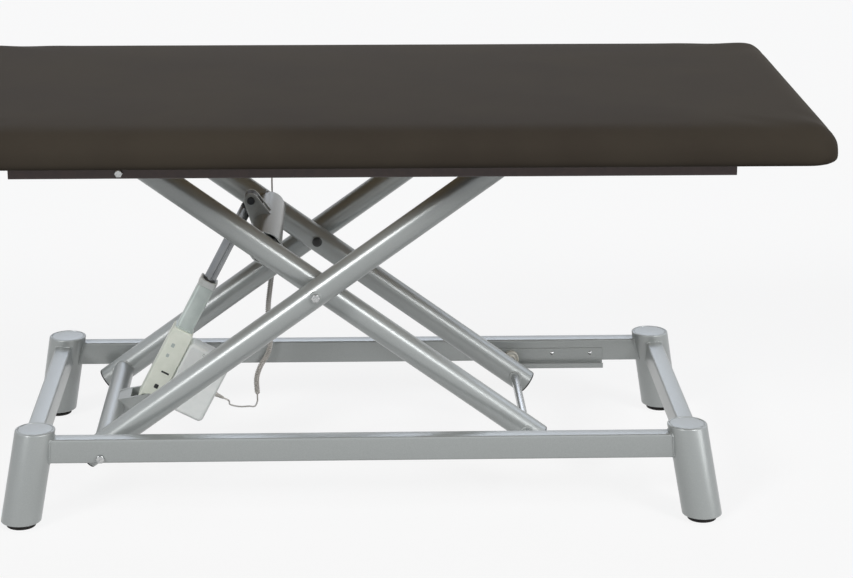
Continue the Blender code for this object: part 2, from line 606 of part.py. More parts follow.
# Actuator brackets: forks welded to the cross tubes, each with a headed pin
def fork(name, pin, pin_radius, root, root_radius, tube, inside, room, axis):
    """A tapered lug from a cross tube to a pin, slotted between its two ears."""
    outside = inside + EAR_THICKNESS
    outline = link_outline(pin, pin_radius, root, root_radius)
    lug = extruded(name, outline, -outside, outside, "XZ", SILVER, axis)
    boolean(lug, rod(name + "_tube_seat", "Y", (root[0], 0, root[1]), -2 * outside, 2 * outside,
                     tube + 2 * FIT, axis=axis, sides=ROUND))
    boolean(lug, rod(name + "_room", "Y", (pin[0], 0, pin[1]), -inside, inside, 2 * room, axis=axis))
    boolean(lug, rod(name + "_pin_hole", "Y", (pin[0], 0, pin[1]), -2 * outside, 2 * outside,
                     PIN_DIAMETER + 2 * FIT, axis=axis, sides=ROUND_SMALL))
    return lug


def headed_pin(name, pin, inside, axis):
    seat = inside + EAR_THICKNESS + FIT
    tip = seat + PIN_HEAD_HEIGHT
    turned(name, "Y", (pin[0], 0, pin[1]), [
        (0, tip), (PIN_DIAMETER / 2 + PIN_HEAD_OVER, tip), (PIN_DIAMETER / 2 + PIN_HEAD_OVER, seat),
        (PIN_DIAMETER / 2, seat), (PIN_DIAMETER / 2, -seat), (PIN_DIAMETER / 2 + PIN_HEAD_OVER, -seat),
        (PIN_DIAMETER / 2 + PIN_HEAD_OVER, -tip), (0, -tip),
    ], CAST, axis, sides=ROUND_SMALL)


def in_frame(point, axis_x, axis_z, turn):
    """A point of the plane y = 0, written in a frame turned by the angle turn above the horizontal."""
    dx, dz = point.x - axis_x, point.z - axis_z
    return (dx * math.cos(turn) + dz * math.sin(turn), -dx * math.sin(turn) + dz * math.cos(turn))


LOWER_FORK_INSIDE = MOTOR_DEPTH / 2 + RUNNING
UPPER_FORK_INSIDE = EYE_WIDTH / 2 + RUNNING
lower_pin = in_frame(LOWER_PIN, PIVOT_X, PIVOT_HEIGHT, LIFT_ANGLE)
fork("lower_actuator_bracket", lower_pin, LOWER_EAR_RADIUS, (0, 0), LOWER_ROOT_RADIUS, LOWER_CROSS_TUBE,
     LOWER_FORK_INSIDE, LOWER_FORK_ROOM, OUTER_AXIS)
headed_pin("lower_clevis_pin", lower_pin, LOWER_FORK_INSIDE, OUTER_AXIS)
upper_pin = (-UPPER_PIN_ALONG_ARM, UPPER_PIN_ABOVE_ARM)
upper_fork = fork("upper_actuator_bracket", upper_pin, UPPER_EAR_RADIUS, (-UPPER_CROSS_FROM_CENTRE, 0),
                  UPPER_ROOT_RADIUS, UPPER_CROSS_TUBE, UPPER_FORK_INSIDE, EYE_DIAMETER / 2 + EYE_ROOM,
                  INNER_AXIS)
headed_pin("upper_clevis_pin", upper_pin, UPPER_FORK_INSIDE, INNER_AXIS)
ROD_PATH = ROD_DIAMETER / 2 + EYE_ROOM
boolean(upper_fork, block("rod_path", (-2 * UPPER_CROSS_TUBE, -UPPER_FORK_INSIDE, -ROD_PATH),
                          (0, UPPER_FORK_INSIDE, ROD_PATH), axis=ACTUATOR_AXIS))


# Actuator, along X of its own frame with the upper pin at zero
ROD_START = -EYE_NECK - FIT
TUBE_TOP = TUBE_END - ACTUATOR_SPAN
COLLAR_TOP = TUBE_TOP + COLLAR_LENGTH
rod("piston_rod", "X", (0, 0, 0), COLLAR_TOP - COLLAR_LENGTH - ROD_INSIDE, ROD_START, ROD_DIAMETER, CHROME,
    ACTUATOR_AXIS, sides=ROUND_SMALL)
eye = rod("rod_eye", "Y", (0, 0, 0), -EYE_WIDTH / 2, EYE_WIDTH / 2, EYE_DIAMETER, CAST, ACTUATOR_AXIS)
boolean(eye, rod("eye_neck", "X", (0, 0, 0), -EYE_NECK, 0, min(ROD_DIAMETER, EYE_WIDTH) * 0.98,
                 axis=ACTUATOR_AXIS, sides=ROUND_SMALL), "UNION")
boolean(eye, rod("eye_hole", "Y", (0, 0, 0), -EYE_WIDTH, EYE_WIDTH, PIN_DIAMETER + 2 * FIT,
                 axis=ACTUATOR_AXIS, sides=ROUND_SMALL))

MOTOR_TOP = MOTOR_END - ACTUATOR_SPAN
tube_low = Vector((MOTOR_TOP + FIT, -TUBE_DEPTH / 2, -TUBE_WIDTH / 2))
tube_high = Vector((TUBE_TOP, TUBE_DEPTH / 2, TUBE_WIDTH / 2))
rectangular_tube("actuator_tube", tube_low, tube_high, ALUMINIUM, "X", ACTUATOR_AXIS, TUBE_EDGE, TUBE_WALL)
collar_low = Vector((TUBE_TOP + FIT, tube_low.y - COLLAR_OVER, tube_low.z - COLLAR_OVER))
collar_high = Vector((COLLAR_TOP, tube_high.y + COLLAR_OVER, tube_high.z + COLLAR_OVER))
collar = block("tube_collar", collar_low, collar_high, BOX_GREY, ACTUATOR_AXIS, COLLAR_ROUNDING)
boolean(collar, rod("collar_spigot", "X", (0, 0, 0), TUBE_TOP - COLLAR_SPIGOT, TUBE_TOP + COLLAR_ROUNDING,
                    min(TUBE_WIDTH, TUBE_DEPTH) - 2 * (TUBE_WALL + FIT), axis=ACTUATOR_AXIS), "UNION")
boolean(collar, rod("collar_bore", "X", (0, 0, 0), TUBE_TOP - 2 * COLLAR_SPIGOT, COLLAR_TOP + COLLAR_SPIGOT,
                    ROD_DIAMETER + 2 * FIT, axis=ACTUATOR_AXIS, sides=ROUND_SMALL))

# Motor housing: rounded over the lower pin, which has room to wander in its slot
half_width = MOTOR_WIDTH / 2
half_depth = MOTOR_DEPTH / 2
round_end = arc((-ACTUATOR_SPAN, 0), half_width, math.pi / 2, 3 * math.pi / 2, 14)
motor = extruded("motor_housing", round_end + [(MOTOR_TOP, -half_width), (MOTOR_TOP, half_width)],
                 -half_depth, half_depth, "XZ", HOUSING, ACTUATOR_AXIS)
edge = motor.modifiers.new("rounding", "BEVEL")
edge.width = MOTOR_ROUNDING
edge.segments = 2
edge.limit_method = "ANGLE"
edge.angle_limit = math.radians(40)
slot_reach = (MOTOR_SLOT_LENGTH - MOTOR_SLOT_WIDTH) / 2
slot_ends = [(-ACTUATOR_SPAN, slot_reach), (-ACTUATOR_SPAN, -slot_reach)]
slot = (arc(slot_ends[0], MOTOR_SLOT_WIDTH / 2, 0, math.pi, 8)
        + arc(slot_ends[1], MOTOR_SLOT_WIDTH / 2, math.pi, 2 * math.pi, 8))
boolean(motor, extruded("motor_pin_slot", slot, -MOTOR_DEPTH, MOTOR_DEPTH, "XZ", axis=ACTUATOR_AXIS))
boolean(motor, rod("motor_rod_bore", "X", (0, 0, 0), MOTOR_TOP - MOTOR_ROD_BORE, MOTOR_TOP + TUBE_WALL,
                   ROD_DIAMETER + 4 * RUNNING, axis=ACTUATOR_AXIS, sides=ROUND_SMALL))

BOX_LEFT = -half_width - FIT
BOX_RIGHT = BOX_LEFT - BOX_WIDTH
BOX_LOW = BOX_START - ACTUATOR_SPAN
block("control_box", (BOX_LOW, -BOX_DEPTH / 2, BOX_RIGHT), (BOX_LOW + BOX_LENGTH, BOX_DEPTH / 2, BOX_LEFT),
      BOX_GREY, ACTUATOR_AXIS, BOX_ROUNDING, 3)


# Top frame: two rails on the base rails' spacing, two cross members, the board and the pad
def in_top(x, y, z):
    """A point of the part's frame, written from the top's pivot."""
    return Vector((x - TOP_PIVOT_X, y, z - TOP_PIVOT_Z))


half_rail = TOP_RAIL_LENGTH / 2
UPPER_SHAFT_HOLE = rod("upper_shaft_hole", "Y", (0, 0, 0), -RAIL_OUTER - RAIL_WIDTH, RAIL_OUTER + RAIL_WIDTH,
                       UPPER_SHAFT + 2 * FIT, axis=TOP_AXIS, sides=ROUND_SMALL)
for end, sign in (("front", -1), ("rear", 1)):
    low = in_top(-half_rail, sign * RAIL_Y - RAIL_WIDTH / 2, TOP_RAIL_BASE)
    high = in_top(half_rail, sign * RAIL_Y + RAIL_WIDTH / 2, TOP_RAIL_TOP)
    rail = rectangular_tube("top_rail_" + end, low, high, BROWN, "X", TOP_AXIS)
    boolean(rail, UPPER_SHAFT_HOLE)
for end, sign in (("left", -1), ("right", 1)):
    inner = half_rail - TOP_CROSS_WIDTH
    ends = sorted((sign * inner, sign * half_rail))
    rectangular_tube("top_cross_" + end, in_top(ends[0], -RAIL_INNER + FIT, TOP_RAIL_TOP - TOP_CROSS_HEIGHT),
                     in_top(ends[1], RAIL_INNER - FIT, TOP_RAIL_TOP), BROWN, "Y", TOP_AXIS)

board_x = PAD_LENGTH / 2 - BOARD_MARGIN
board_y = PAD_WIDTH / 2 - BOARD_MARGIN
block("deck_board", in_top(-board_x, -board_y, PAD_BASE),
      in_top(board_x, board_y, PAD_BASE + BOARD_THICKNESS), PLYWOOD, TOP_AXIS)


def upholstered_pad():
    """A coarse cage, crowned on top and drawn in along its sides, smoothed by subdivision."""
    half_x, half_y = PAD_LENGTH / 2, PAD_WIDTH / 2
    bm = bmesh.new()
    bmesh.ops.create_cube(bm, size=1.0)
    stretch = Matrix.Diagonal((PAD_LENGTH, PAD_WIDTH, PAD_THICKNESS, 1))
    bmesh.ops.transform(bm, matrix=Matrix.Translation((0, 0, PAD_THICKNESS / 2)) @ stretch, verts=bm.verts)
    loops = [((x, 0, 0), (1, 0, 0)) for x in (PAD_EDGE - half_x, 0, half_x - PAD_EDGE)]
    loops += [((0, y, 0), (0, 1, 0)) for y in (PAD_EDGE - half_y, 0, half_y - PAD_EDGE)]
    loops += [((0, 0, PAD_LOWER_EDGE), (0, 0, 1))]
    for point, normal in loops:
        everything = bm.verts[:] + bm.edges[:] + bm.faces[:]
        bmesh.ops.bisect_plane(bm, geom=everything, plane_co=point, plane_no=normal)
    for vert in bm.verts:
        along, across = vert.co.x / half_x, vert.co.y / half_y
        bulge_x, bulge_y = 1 - along ** 2, 1 - across ** 2
        if vert.co.z > PAD_LOWER_EDGE * 2:
            vert.co.z -= PAD_CROWN * (1 - bulge_x * bulge_y)
        vert.co.x -= PAD_DRAW_IN * bulge_y * along ** 3
        vert.co.y -= PAD_DRAW_IN * bulge_x * across ** 3
    bmesh.ops.translate(bm, vec=in_top(0, 0, PAD_BASE), verts=bm.verts)
    pad = place("pad", to_mesh("pad", bm), VINYL, TOP_AXIS)
    pad.data.shade_smooth()
    smooth = pad.modifiers.new("padding", "SUBSURF")
    smooth.levels = 2
    smooth.render_levels = 2
    recess = block("board_recess", in_top(-board_x - FIT, -board_y - FIT, PAD_BASE - BOARD_THICKNESS),
                   in_top(board_x + FIT, board_y + FIT, PAD_BASE + BOARD_THICKNESS + FIT), axis=TOP_AXIS)
    boolean(pad, recess)


upholstered_pad()


# Cable: a boot on the control box, a loose tail, a coil that hangs behind the arms, and a gland
def smooth_path(points, steps):
    """Points on a Catmull-Rom curve through the given points, both ends included."""
    ends = [2 * points[0] - points[1]] + points + [2 * points[-1] - points[-2]]
    path = []
    for before, start, end, after in zip(ends, ends[1:], ends[2:], ends[3:]):
        for step in range(steps):
            t = step / steps
            bend = 2 * before - 5 * start + 4 * end - after
            turn = 3 * start - before - 3 * end + after
            path.append(0.5 * (2 * start + (end - before) * t + bend * t ** 2 + turn * t ** 3))
    return path + [points[-1]]


def cord(name, path, sides):
    """A round cable along a list of points, with flat filled ends."""
    curve = bpy.data.curves.new(name, "CURVE")
    curve.dimensions = "3D"
    curve.bevel_depth = CORD_DIAMETER / 2
    curve.bevel_resolution = sides
    curve.use_fill_caps = True
    spline = curve.splines.new("POLY")
    spline.points.add(len(path) - 1)
    for point, place_at in zip(spline.points, path):
        point.co = (*place_at, 1)
    thing = bpy.data.objects.new(name, curve)
    PARTS.objects.link(thing)
    curve.materials.append(CABLE)
    weld = thing.modifiers.new("caps", "WELD")
    weld.merge_threshold = 0.00001


def along_path(path, share):
    """The point at a share of a path's length, and the direction there."""
    lengths = [(b - a).length for a, b in zip(path, path[1:])]
    target = share * sum(lengths)
    for start, end, length in zip(path, path[1:], lengths):
        if target <= length:
            return start + (end - start) * (target / length), (end - start).normalized()
        target -= length
    return path[-1], (path[-1] - path[-2]).normalized()


def least_gap(points, reach):
    """The least free distance between stretches of a cord that lie over reach points apart."""
    gaps = [(a - b).length for i, a in enumerate(points) for b in points[i + reach:i + 6 * reach]]
    return min(gaps) - CORD_DIAMETER


to_world = Matrix.Translation(UPPER_PIN) @ Matrix.Rotation(-ACTUATOR_ANGLE, 4, "Y")
boot_root = Vector((BOX_LOW + BOOT_UP, 0, BOX_RIGHT - FIT))
turned("cable_boot", "Z", boot_root, [
    (0, 0), (BOOT_DIAMETER / 2, 0), (CORD_DIAMETER / 2 + BOOT_LIP, -BOOT_LENGTH), (0, -BOOT_LENGTH),
], CABLE, ACTUATOR_AXIS, sides=ROUND_SMALL)
boot_tip = to_world @ (boot_root - Vector((0, 0, BOOT_LENGTH + FIT)))
boot_way = (to_world.to_3x3() @ Vector((0, 0, -1))).normalized()

coil_top = Vector((BASE_SHIFT - 0.2113, COIL_Y, 0.4400))
coil_route = [coil_top] + [Vector((BASE_SHIFT + x, COIL_Y, z)) for x, z in (
    (-0.2220, 0.3630), (-0.2300, 0.2850), (-0.2250, 0.2200), (-0.2300, 0.1800), (-0.2520, 0.1400),
    (-0.2615, 0.1100), (-0.2605, 0.0660))]
gland_base = TOP_RAIL_BASE + RAIL_EDGE
gland_point = Vector((BASE_SHIFT - 0.2110, COIL_Y, gland_base - FIT))
down = Vector((0, 0, -CORD_DIAMETER))
hanging = [gland_point] + smooth_path([
    gland_point + down, gland_point + 5 * down, Vector((BASE_SHIFT - 0.2150, COIL_Y, 0.6000)),
    Vector((BASE_SHIFT - 0.2100, COIL_Y, 0.5000)), coil_top - down], 5)
coil_path = smooth_path(coil_route, 8)
curls = []
turns = CURL_COUNT * CURL_POINTS
for number in range(turns + 1):
    share = (number / turns) ** 1.15
    middle, way = along_path(coil_path, 1 - (1 - share) ** 1.12)
    across = way.cross(Vector((0, 1, 0))).normalized()
    out = way.cross(across)
    swing = 2 * math.pi * number / CURL_POINTS
    ramp = min(1.0, number / CURL_POINTS, (turns - number) / CURL_POINTS)
    radius = CURL_DIAMETER / 2 * ramp
    curls.append(middle + radius * (math.cos(swing) * across + math.sin(swing) * out))
coil_end = curls[-1]
cord("cable_coil", hanging + curls + [coil_end + down], 1)
print("cable_coil least gap to itself, mm:", round(1000 * least_gap(curls, CURL_POINTS - 2), 2))

tail_start = coil_end + down - Vector((0, 0, FIT))
tail = [boot_tip + CORD_DIAMETER * boot_way, boot_tip + 3 * CORD_DIAMETER * boot_way]
tail += [Vector((BASE_SHIFT + x, y, z)) for x, y, z in (
    (-0.3180, 0.090, 0.1180), (-0.2990, 0.165, 0.0860), (-0.2790, 0.235, 0.0620), (-0.2650, 0.290, 0.0440))]
tail += [tail_start + 3 * down, tail_start + down]
cord("cable_tail", [boot_tip] + smooth_path(tail, 5) + [tail_start], 1)

gland_side = GLAND_WIDTH / 2
block("cable_gland", in_top(gland_point.x - gland_side, COIL_Y - gland_side / 2, gland_base),
      in_top(gland_point.x + gland_side, RAIL_INNER - FIT, gland_base + GLAND_LENGTH), PLASTIC, TOP_AXIS,
      GLAND_ROUNDING)
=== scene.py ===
"""Looks of an electric scissor-lift therapy table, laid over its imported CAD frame.

Metres, +Z up, in the part's own frame. The sections follow the table as it is put together: base,
scissors, drive, top, cable. The last ones hold the camera, the floor and the lights.
"""

import json
import math

import bmesh
import bpy
import numpy as np
from mathutils import Matrix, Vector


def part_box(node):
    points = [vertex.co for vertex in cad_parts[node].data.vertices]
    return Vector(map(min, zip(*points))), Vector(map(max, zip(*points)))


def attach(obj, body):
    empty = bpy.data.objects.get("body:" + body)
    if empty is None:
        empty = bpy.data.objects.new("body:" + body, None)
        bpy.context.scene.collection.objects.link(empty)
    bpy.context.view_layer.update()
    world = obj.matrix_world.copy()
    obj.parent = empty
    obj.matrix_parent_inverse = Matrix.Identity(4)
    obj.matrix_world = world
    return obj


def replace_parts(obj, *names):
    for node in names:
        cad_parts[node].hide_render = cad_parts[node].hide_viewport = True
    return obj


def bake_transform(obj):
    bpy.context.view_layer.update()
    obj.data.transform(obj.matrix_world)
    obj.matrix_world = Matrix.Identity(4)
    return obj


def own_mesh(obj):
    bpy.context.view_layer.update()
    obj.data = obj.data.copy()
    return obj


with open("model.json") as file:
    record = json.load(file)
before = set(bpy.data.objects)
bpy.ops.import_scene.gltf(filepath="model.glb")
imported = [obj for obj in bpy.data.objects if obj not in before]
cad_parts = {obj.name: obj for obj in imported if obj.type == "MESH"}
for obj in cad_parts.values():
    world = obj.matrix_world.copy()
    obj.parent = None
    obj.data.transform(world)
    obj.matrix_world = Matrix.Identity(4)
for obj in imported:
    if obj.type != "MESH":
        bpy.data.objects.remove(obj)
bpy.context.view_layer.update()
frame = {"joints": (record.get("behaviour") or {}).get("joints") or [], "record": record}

# Legs
# Four steel tubes that lean out to their corners, each closed by a lid set into its top end.
# All the steel of the base and the scissors has one coat of aluminium-coloured powder paint.
BASE_MIDDLE = -0.028
LEG_HALF = np.array((0.735, 0.343))
LEG_TOP = 0.217
LEG_RADIUS = 0.0455
LEAN = math.tan(math.radians(10))
SEAM_IN, SEAM_DEEP, LID_DROP = 0.0045, 0.002, 0.0005
FOOT_HEIGHT = 0.0125
X, Y, Z = np.eye(3)
scene = bpy.context.scene
corners = {"front_left": (-1, -1), "front_right": (1, -1), "rear_left": (-1, 1), "rear_right": (1, 1)}


def linear(code):
    """An sRGB hex colour as the linear colour with alpha that a shader socket takes."""
    share = np.array([int(code[n:n + 2], 16) for n in (1, 3, 5)]) / 255
    share = np.where(share <= 0.04045, share / 12.92, ((share + 0.055) / 1.055) ** 2.4)
    return (*share.tolist(), 1.0)


def wire(node, settings=None, links=None):
    """Sets a shader node's sockets or attributes by name and links outputs into its sockets."""
    for key, value in (settings or {}).items():
        if key in node.inputs:
            node.inputs[key].default_value = value
        else:
            setattr(node, key, value)
    for key, source in (links or {}).items():
        node.id_data.links.new(source, node.inputs[key])


def add(tree, kind, settings=None, links=None):
    """The first output of a new shader node, with its settings and what is linked into it."""
    node = tree.nodes.new("ShaderNode" + kind)
    wire(node, settings, links)
    return node.outputs[0]


def blank(name):
    """A new material, its node tree, its Principled shader and the Object coordinates in metres."""
    material = bpy.data.materials.new(name)
    material.use_nodes = True
    tree = material.node_tree
    return material, tree, tree.nodes["Principled BSDF"], add(tree, "TexCoord").node.outputs["Object"]


def tones(tree, source, dark, light):
    """A colour that runs from dark to light over the middle third of a texture's value."""
    colour = add(tree, "ValToRGB", links={"Fac": source})
    for element, at, code in zip(colour.node.color_ramp.elements, (0.35, 0.65), (dark, light)):
        element.position = at
        element.color = linear(code)
    return colour


def coated(name, dark, light, rough, slot=None, metal=0.0, grain=0.02, peel=0.006, relief=0.05, shine=0.5):
    """A finish: a material with cloudy tone of one grain size and fine ripple of another, and its slot.

    The slot has the material's name unless another is given.
    """
    material, tree, shader, at = blank(name)
    cloud = add(tree, "TexNoise", {"Scale": 1 / grain, "Detail": 3.0}, {"Vector": at})
    ripple = add(tree, "TexNoise", {"Scale": 1 / peel, "Detail": 2.0}, {"Vector": at})
    dull = add(tree, "MapRange", {"To Min": rough - 0.05, "To Max": rough + 0.05}, {"Value": ripple})
    bump = add(tree, "Bump", {"Strength": relief, "Distance": peel / 10}, {"Height": ripple})
    wire(shader, {"Metallic": metal, "Specular IOR Level": shine},
         {"Base Color": tones(tree, cloud, dark, light), "Roughness": dull, "Normal": bump})
    return material, slot or name


def unit(vectors):
    """Vectors, one or in rows, divided by their lengths."""
    return vectors / np.linalg.norm(vectors, axis=-1, keepdims=True)


def rounded(corner, closed=False, steps=5):
    """An outline through (a, b, radius) corners, each rounded by an arc that touches its two sides.

    An arc's centre lies radius / sin(half angle) from its corner, on the line that halves it.
    """
    corner = np.array([(*c, 0.0)[:3] for c in corner], float)
    point, radius = corner[:, :2], corner[:, 2:] + 1e-6
    before, after = (unit(np.roll(point, shift, 0) - point) for shift in (1, -1))
    half = np.arccos(np.clip((before * after).sum(1, keepdims=True), -0.99999, 0.99999)) / 2
    middle = before + after
    middle /= np.maximum(np.linalg.norm(middle, axis=1, keepdims=True), 1e-9)
    centre = point + middle * radius / np.sin(half)
    start, stop = (point + way * radius / np.tan(half) - centre for way in (before, after))
    sweep = (np.pi - 2 * half)[:, None]
    share = np.linspace(0, 1, steps + 1)[None, :, None]
    arc = np.sin((1 - share) * sweep) * start[:, None] + np.sin(share * sweep) * stop[:, None]
    arc = centre[:, None] + arc / np.sin(sweep)
    if closed:
        return arc.reshape(-1, 2)
    return np.vstack([point[:1], arc[1:-1].reshape(-1, 2), point[-1:]])


def turned(corner, origin, along, sides=64, closed=False):
    """Corners (radius, distance, rounding) turned round the line from origin along a direction.

    A point of the outline goes to origin + distance * along + radius * (cos * side + sin * other).
    """
    outline = rounded(corner, closed)
    side = unit(np.cross(along, X if abs(along[0]) < 0.7 else Y))
    angle = np.linspace(0, 2 * np.pi, sides, endpoint=False)[:, None]
    ring = np.cos(angle) * side + np.sin(angle) * np.cross(along, side)
    return origin + outline[:, None, 1:] * along + np.maximum(outline[:, None, :1], 1e-4) * ring


def put(name, data):
    """A new object in the scene for a mesh, curve, camera or light, at the origin and not turned."""
    made = bpy.data.objects.new(name, data)
    scene.collection.objects.link(made)
    return made


def shell(name, grids):
    """A closed mesh from capped or looped grids of points whose columns close round.

    Corner (r, c) of a grid is joined to (r + 1, c) and (r, c + 1).
    """
    points, faces, first = [], [], 0
    for grid, ends in grids:
        index = first + np.arange(grid[..., 0].size).reshape(grid.shape[:2])
        lower, upper = (index, np.roll(index, -1, 0)) if ends == "loop" else (index[:-1], index[1:])
        quads = np.stack([lower, np.roll(lower, -1, 1), np.roll(upper, -1, 1), upper], -1)
        faces += quads.reshape(-1, 4).tolist()
        if ends == "caps":
            faces += [index[0].tolist(), index[-1].tolist()]
        points.append(grid.reshape(-1, 3))
        first += index.size
    mesh = bpy.data.meshes.new(name)
    mesh.from_pydata(np.concatenate(points).tolist(), [], faces)
    bm = bmesh.new()
    bm.from_mesh(mesh)
    bmesh.ops.recalc_face_normals(bm, faces=bm.faces)
    bm.to_mesh(mesh)
    bm.free()
    mesh.shade_smooth()
    mesh.set_sharp_from_angle(angle=math.radians(38))
    return put(name, mesh)


def capped(*grids):
    """Grids that are closed by a face at each end."""
    return [(grid, "caps") for grid in grids]


def looped(*grids):
    """Grids whose last row joins their first."""
    return [(grid, "loop") for grid in grids]


def piece(name, grids, finish, body, *nodes):
    """A shell that takes a finish, rides on a body and stands for CAD nodes."""
    made = shell(name, grids)
    material, slot = finish
    made.data.materials.append(material)
    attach(made, body)
    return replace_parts(made, *nodes)


# Fine metal flake under a soft satin skin, so a tube has a bright line and a dull edge
silver = coated("aluminium_powder_paint", "#a3a7a6", "#abafae", 0.31, slot="silver_paint", metal=0.28,
                grain=0.0015, relief=0.015, shine=0.6)
seam = LEG_RADIUS - SEAM_IN
for corner, side in corners.items():
    leg = turned([(0, FOOT_HEIGHT), (LEG_RADIUS, FOOT_HEIGHT, 0.002), (LEG_RADIUS, LEG_TOP, 0.0035),
                  (seam, LEG_TOP, 0.0008), (seam - 0.001, LEG_TOP - SEAM_DEEP, 0.0008),
                  (seam - 0.003, LEG_TOP - LID_DROP, 0.0008), (0, LEG_TOP - LID_DROP)], 0 * X, Z, 96)
    leg[..., :2] += np.array(side) * (LEG_HALF + LEAN * (LEG_TOP - leg[..., 2:]))
    leg[..., 0] += BASE_MIDDLE
    piece("leg_tube_" + corner, capped(leg), silver, "base", "leg_" + corner)

# Feet
# A turned rubber pad under each leg, with a moulded stud that screws up into the leg's end plate.
# The pad has one shallow groove round it and a broken lower edge.
FOOT_RADIUS, FOOT_GROOVE = 0.033, 0.0008
STUD_RADIUS, STUD_LENGTH = 0.005, 0.018
FIT = 0.0003
# Dull, slightly brown black with a chalky bloom
rubber = coated("black_rubber", "#1b1a19", "#262422", 0.72, grain=0.008, peel=0.0015, relief=0.15, shine=0.3)
for corner, side in corners.items():
    under = np.array(side) * (LEG_HALF + LEAN * (LEG_TOP - FOOT_HEIGHT)) + (BASE_MIDDLE, 0)
    high = FOOT_HEIGHT - FIT
    middle, tip = high / 2, high + STUD_LENGTH
    foot = turned([(0, 0), (FOOT_RADIUS, 0, 0.002), (FOOT_RADIUS, middle, 0.0003),
                   (FOOT_RADIUS - FOOT_GROOVE, middle + FOOT_GROOVE, 0.0003),
                   (FOOT_RADIUS, middle + 2 * FOOT_GROOVE, 0.0003), (FOOT_RADIUS, high, 0.001),
                   (STUD_RADIUS, high), (STUD_RADIUS, tip), (0, tip)], np.array((*under, 0)), Z)
    piece("foot_pad_" + corner, capped(foot), rubber, "base", "foot_" + corner)

# Base rails
# Rectangular tubes between the legs, cut to the legs' round and welded on all round each end.
# The weld is a rippled bead that was painted over with the rest.
RAIL_WIDTH, RAIL_HEIGHT, RAIL_EDGE = 0.040, 0.056, 0.005
RAIL_DROP, RAIL_LAP, RAIL_WELD = 0.018, 0.004, 0.0026
RAIL_MIDDLE = LEG_TOP - RAIL_DROP - RAIL_HEIGHT / 2
RAIL_AT = LEG_HALF + LEAN * (LEG_TOP - RAIL_MIDDLE)


def box_outline(width, height, edge, steps=5):
    """A closed rectangle round the origin with four equal rounded corners."""
    w, h = width / 2, height / 2
    return rounded([(-w, -h, edge), (w, -h, edge), (w, h, edge), (-w, h, edge)], True, steps)


def bead(path, size, closed=True):
    """A weld along a path: a round section whose size swells and shrinks each 5 mm along the way."""
    along = unit(np.roll(path, -1, 0) - np.roll(path, 1, 0) if closed else np.gradient(path, axis=0))
    out = path - path.mean(0)
    out = unit(out - (out * along).sum(1, keepdims=True) * along)
    over = np.cross(along, out)
    run = np.cumsum(np.linalg.norm(np.diff(path, axis=0, prepend=path[:1]), axis=1))
    swell = (size * (1 + 0.14 * np.sin(2 * np.pi * run / 0.005)))[:, None, None]
    angle = np.linspace(0, 2 * np.pi, 10, endpoint=False)[None, :, None]
    return path[:, None] + swell * (np.cos(angle) * out[:, None] + np.sin(angle) * over[:, None])


def finer(path, step=0.001):
    """A closed path with points a step apart, spaced evenly along its straight pieces."""
    loop = np.vstack([path, path[:1]])
    run = np.concatenate([[0], np.cumsum(np.linalg.norm(np.diff(loop, axis=0), axis=1))])
    at = np.linspace(0, run[-1], max(24, int(run[-1] / step)), endpoint=False)
    return np.stack([np.interp(at, run, loop[:, n]) for n in range(3)], -1)


def coped(way, side, end):
    """The end outline of a rail along X (way 0) or Y (way 1), where it meets the round of a leg.

    At each height the leg's middle is known, and the rail stops sqrt(R^2 - offset^2) short of it.
    """
    ring = box_outline(RAIL_WIDTH, RAIL_HEIGHT, RAIL_EDGE)
    high = RAIL_MIDDLE + ring[:, 1]
    leg = LEG_HALF + LEAN * (LEG_TOP - high)[:, None]
    across = side * RAIL_AT[1 - way] + ring[:, 0]
    short = np.sqrt(LEG_RADIUS ** 2 - (across - side * leg[:, 1 - way]) ** 2)
    run = end * (leg[:, way] - short)
    line = np.stack([run, across, high] if way == 0 else [across, run, high], -1)
    return line + BASE_MIDDLE * X


for name, way, side in (("front", 0, -1), ("rear", 0, 1), ("left", 1, -1), ("right", 1, 1)):
    low, high = coped(way, side, -1), coped(way, side, 1)
    into = RAIL_LAP * (X, Y)[way]
    grids = capped(np.stack([low - into, low, high, high + into]))
    grids += looped(*(bead(finer(end), RAIL_WELD) for end in (low, high)))
    piece("rail_" + name, grids, silver, "base", "base_rail_" + name)

# Lower guides
# Folded steel troughs on the inner faces of the long rails, where the sliding arm ends roll.
# Each is held by two pan-head screws through its tall back wall.
GUIDE_DEPTH, GUIDE_HEIGHT, GUIDE_WALL = 0.026, 0.046, 0.003
GUIDE_BACK = RAIL_AT[1] - RAIL_WIDTH / 2 - FIT
SLOT_HALF = 0.010
SCREW_X, SCREW_UP = (0.459, 0.5555), 0.010
SIDES = (("front", -1), ("rear", 1))
pivot = {joint["name"]: np.array(joint.get("pos_m", (0, 0, 0)), float) for joint in frame["joints"]}


def guide(sign, node, height, lipped):
    """A trough section with its open side to the middle of the table, as long as its CAD node.

    The section runs round the wall, up the outside and down the inside; a lipped one is folded over
    at the top as well and closes to a slot.
    """
    h, inner, lip = GUIDE_HEIGHT / 2, GUIDE_HEIGHT / 2 - GUIDE_WALL, GUIDE_WALL - GUIDE_DEPTH
    below = [(-GUIDE_WALL, -inner, 0.001), (lip, -inner, 0.001), (lip, -SLOT_HALF, 0.0008),
             (-GUIDE_DEPTH, -SLOT_HALF, 0.0008), (-GUIDE_DEPTH, -h, 0.002), (0, -h, 0.002)]
    above = [(-GUIDE_DEPTH, h, 0.002), (-GUIDE_DEPTH, SLOT_HALF, 0.0008), (lip, SLOT_HALF, 0.0008),
             (lip, inner, 0.001), (-GUIDE_WALL, inner, 0.001)]
    ring = rounded([(0, h, 0.001)] + (above if lipped else [(-GUIDE_WALL, h, 0.001)]) + below, True, 4)
    line = np.stack([0 * ring[:, 0], sign * (GUIDE_BACK + ring[:, 0]), height + ring[:, 1]], -1)
    return np.stack([line + corner[0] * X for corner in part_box(node)[:2]])


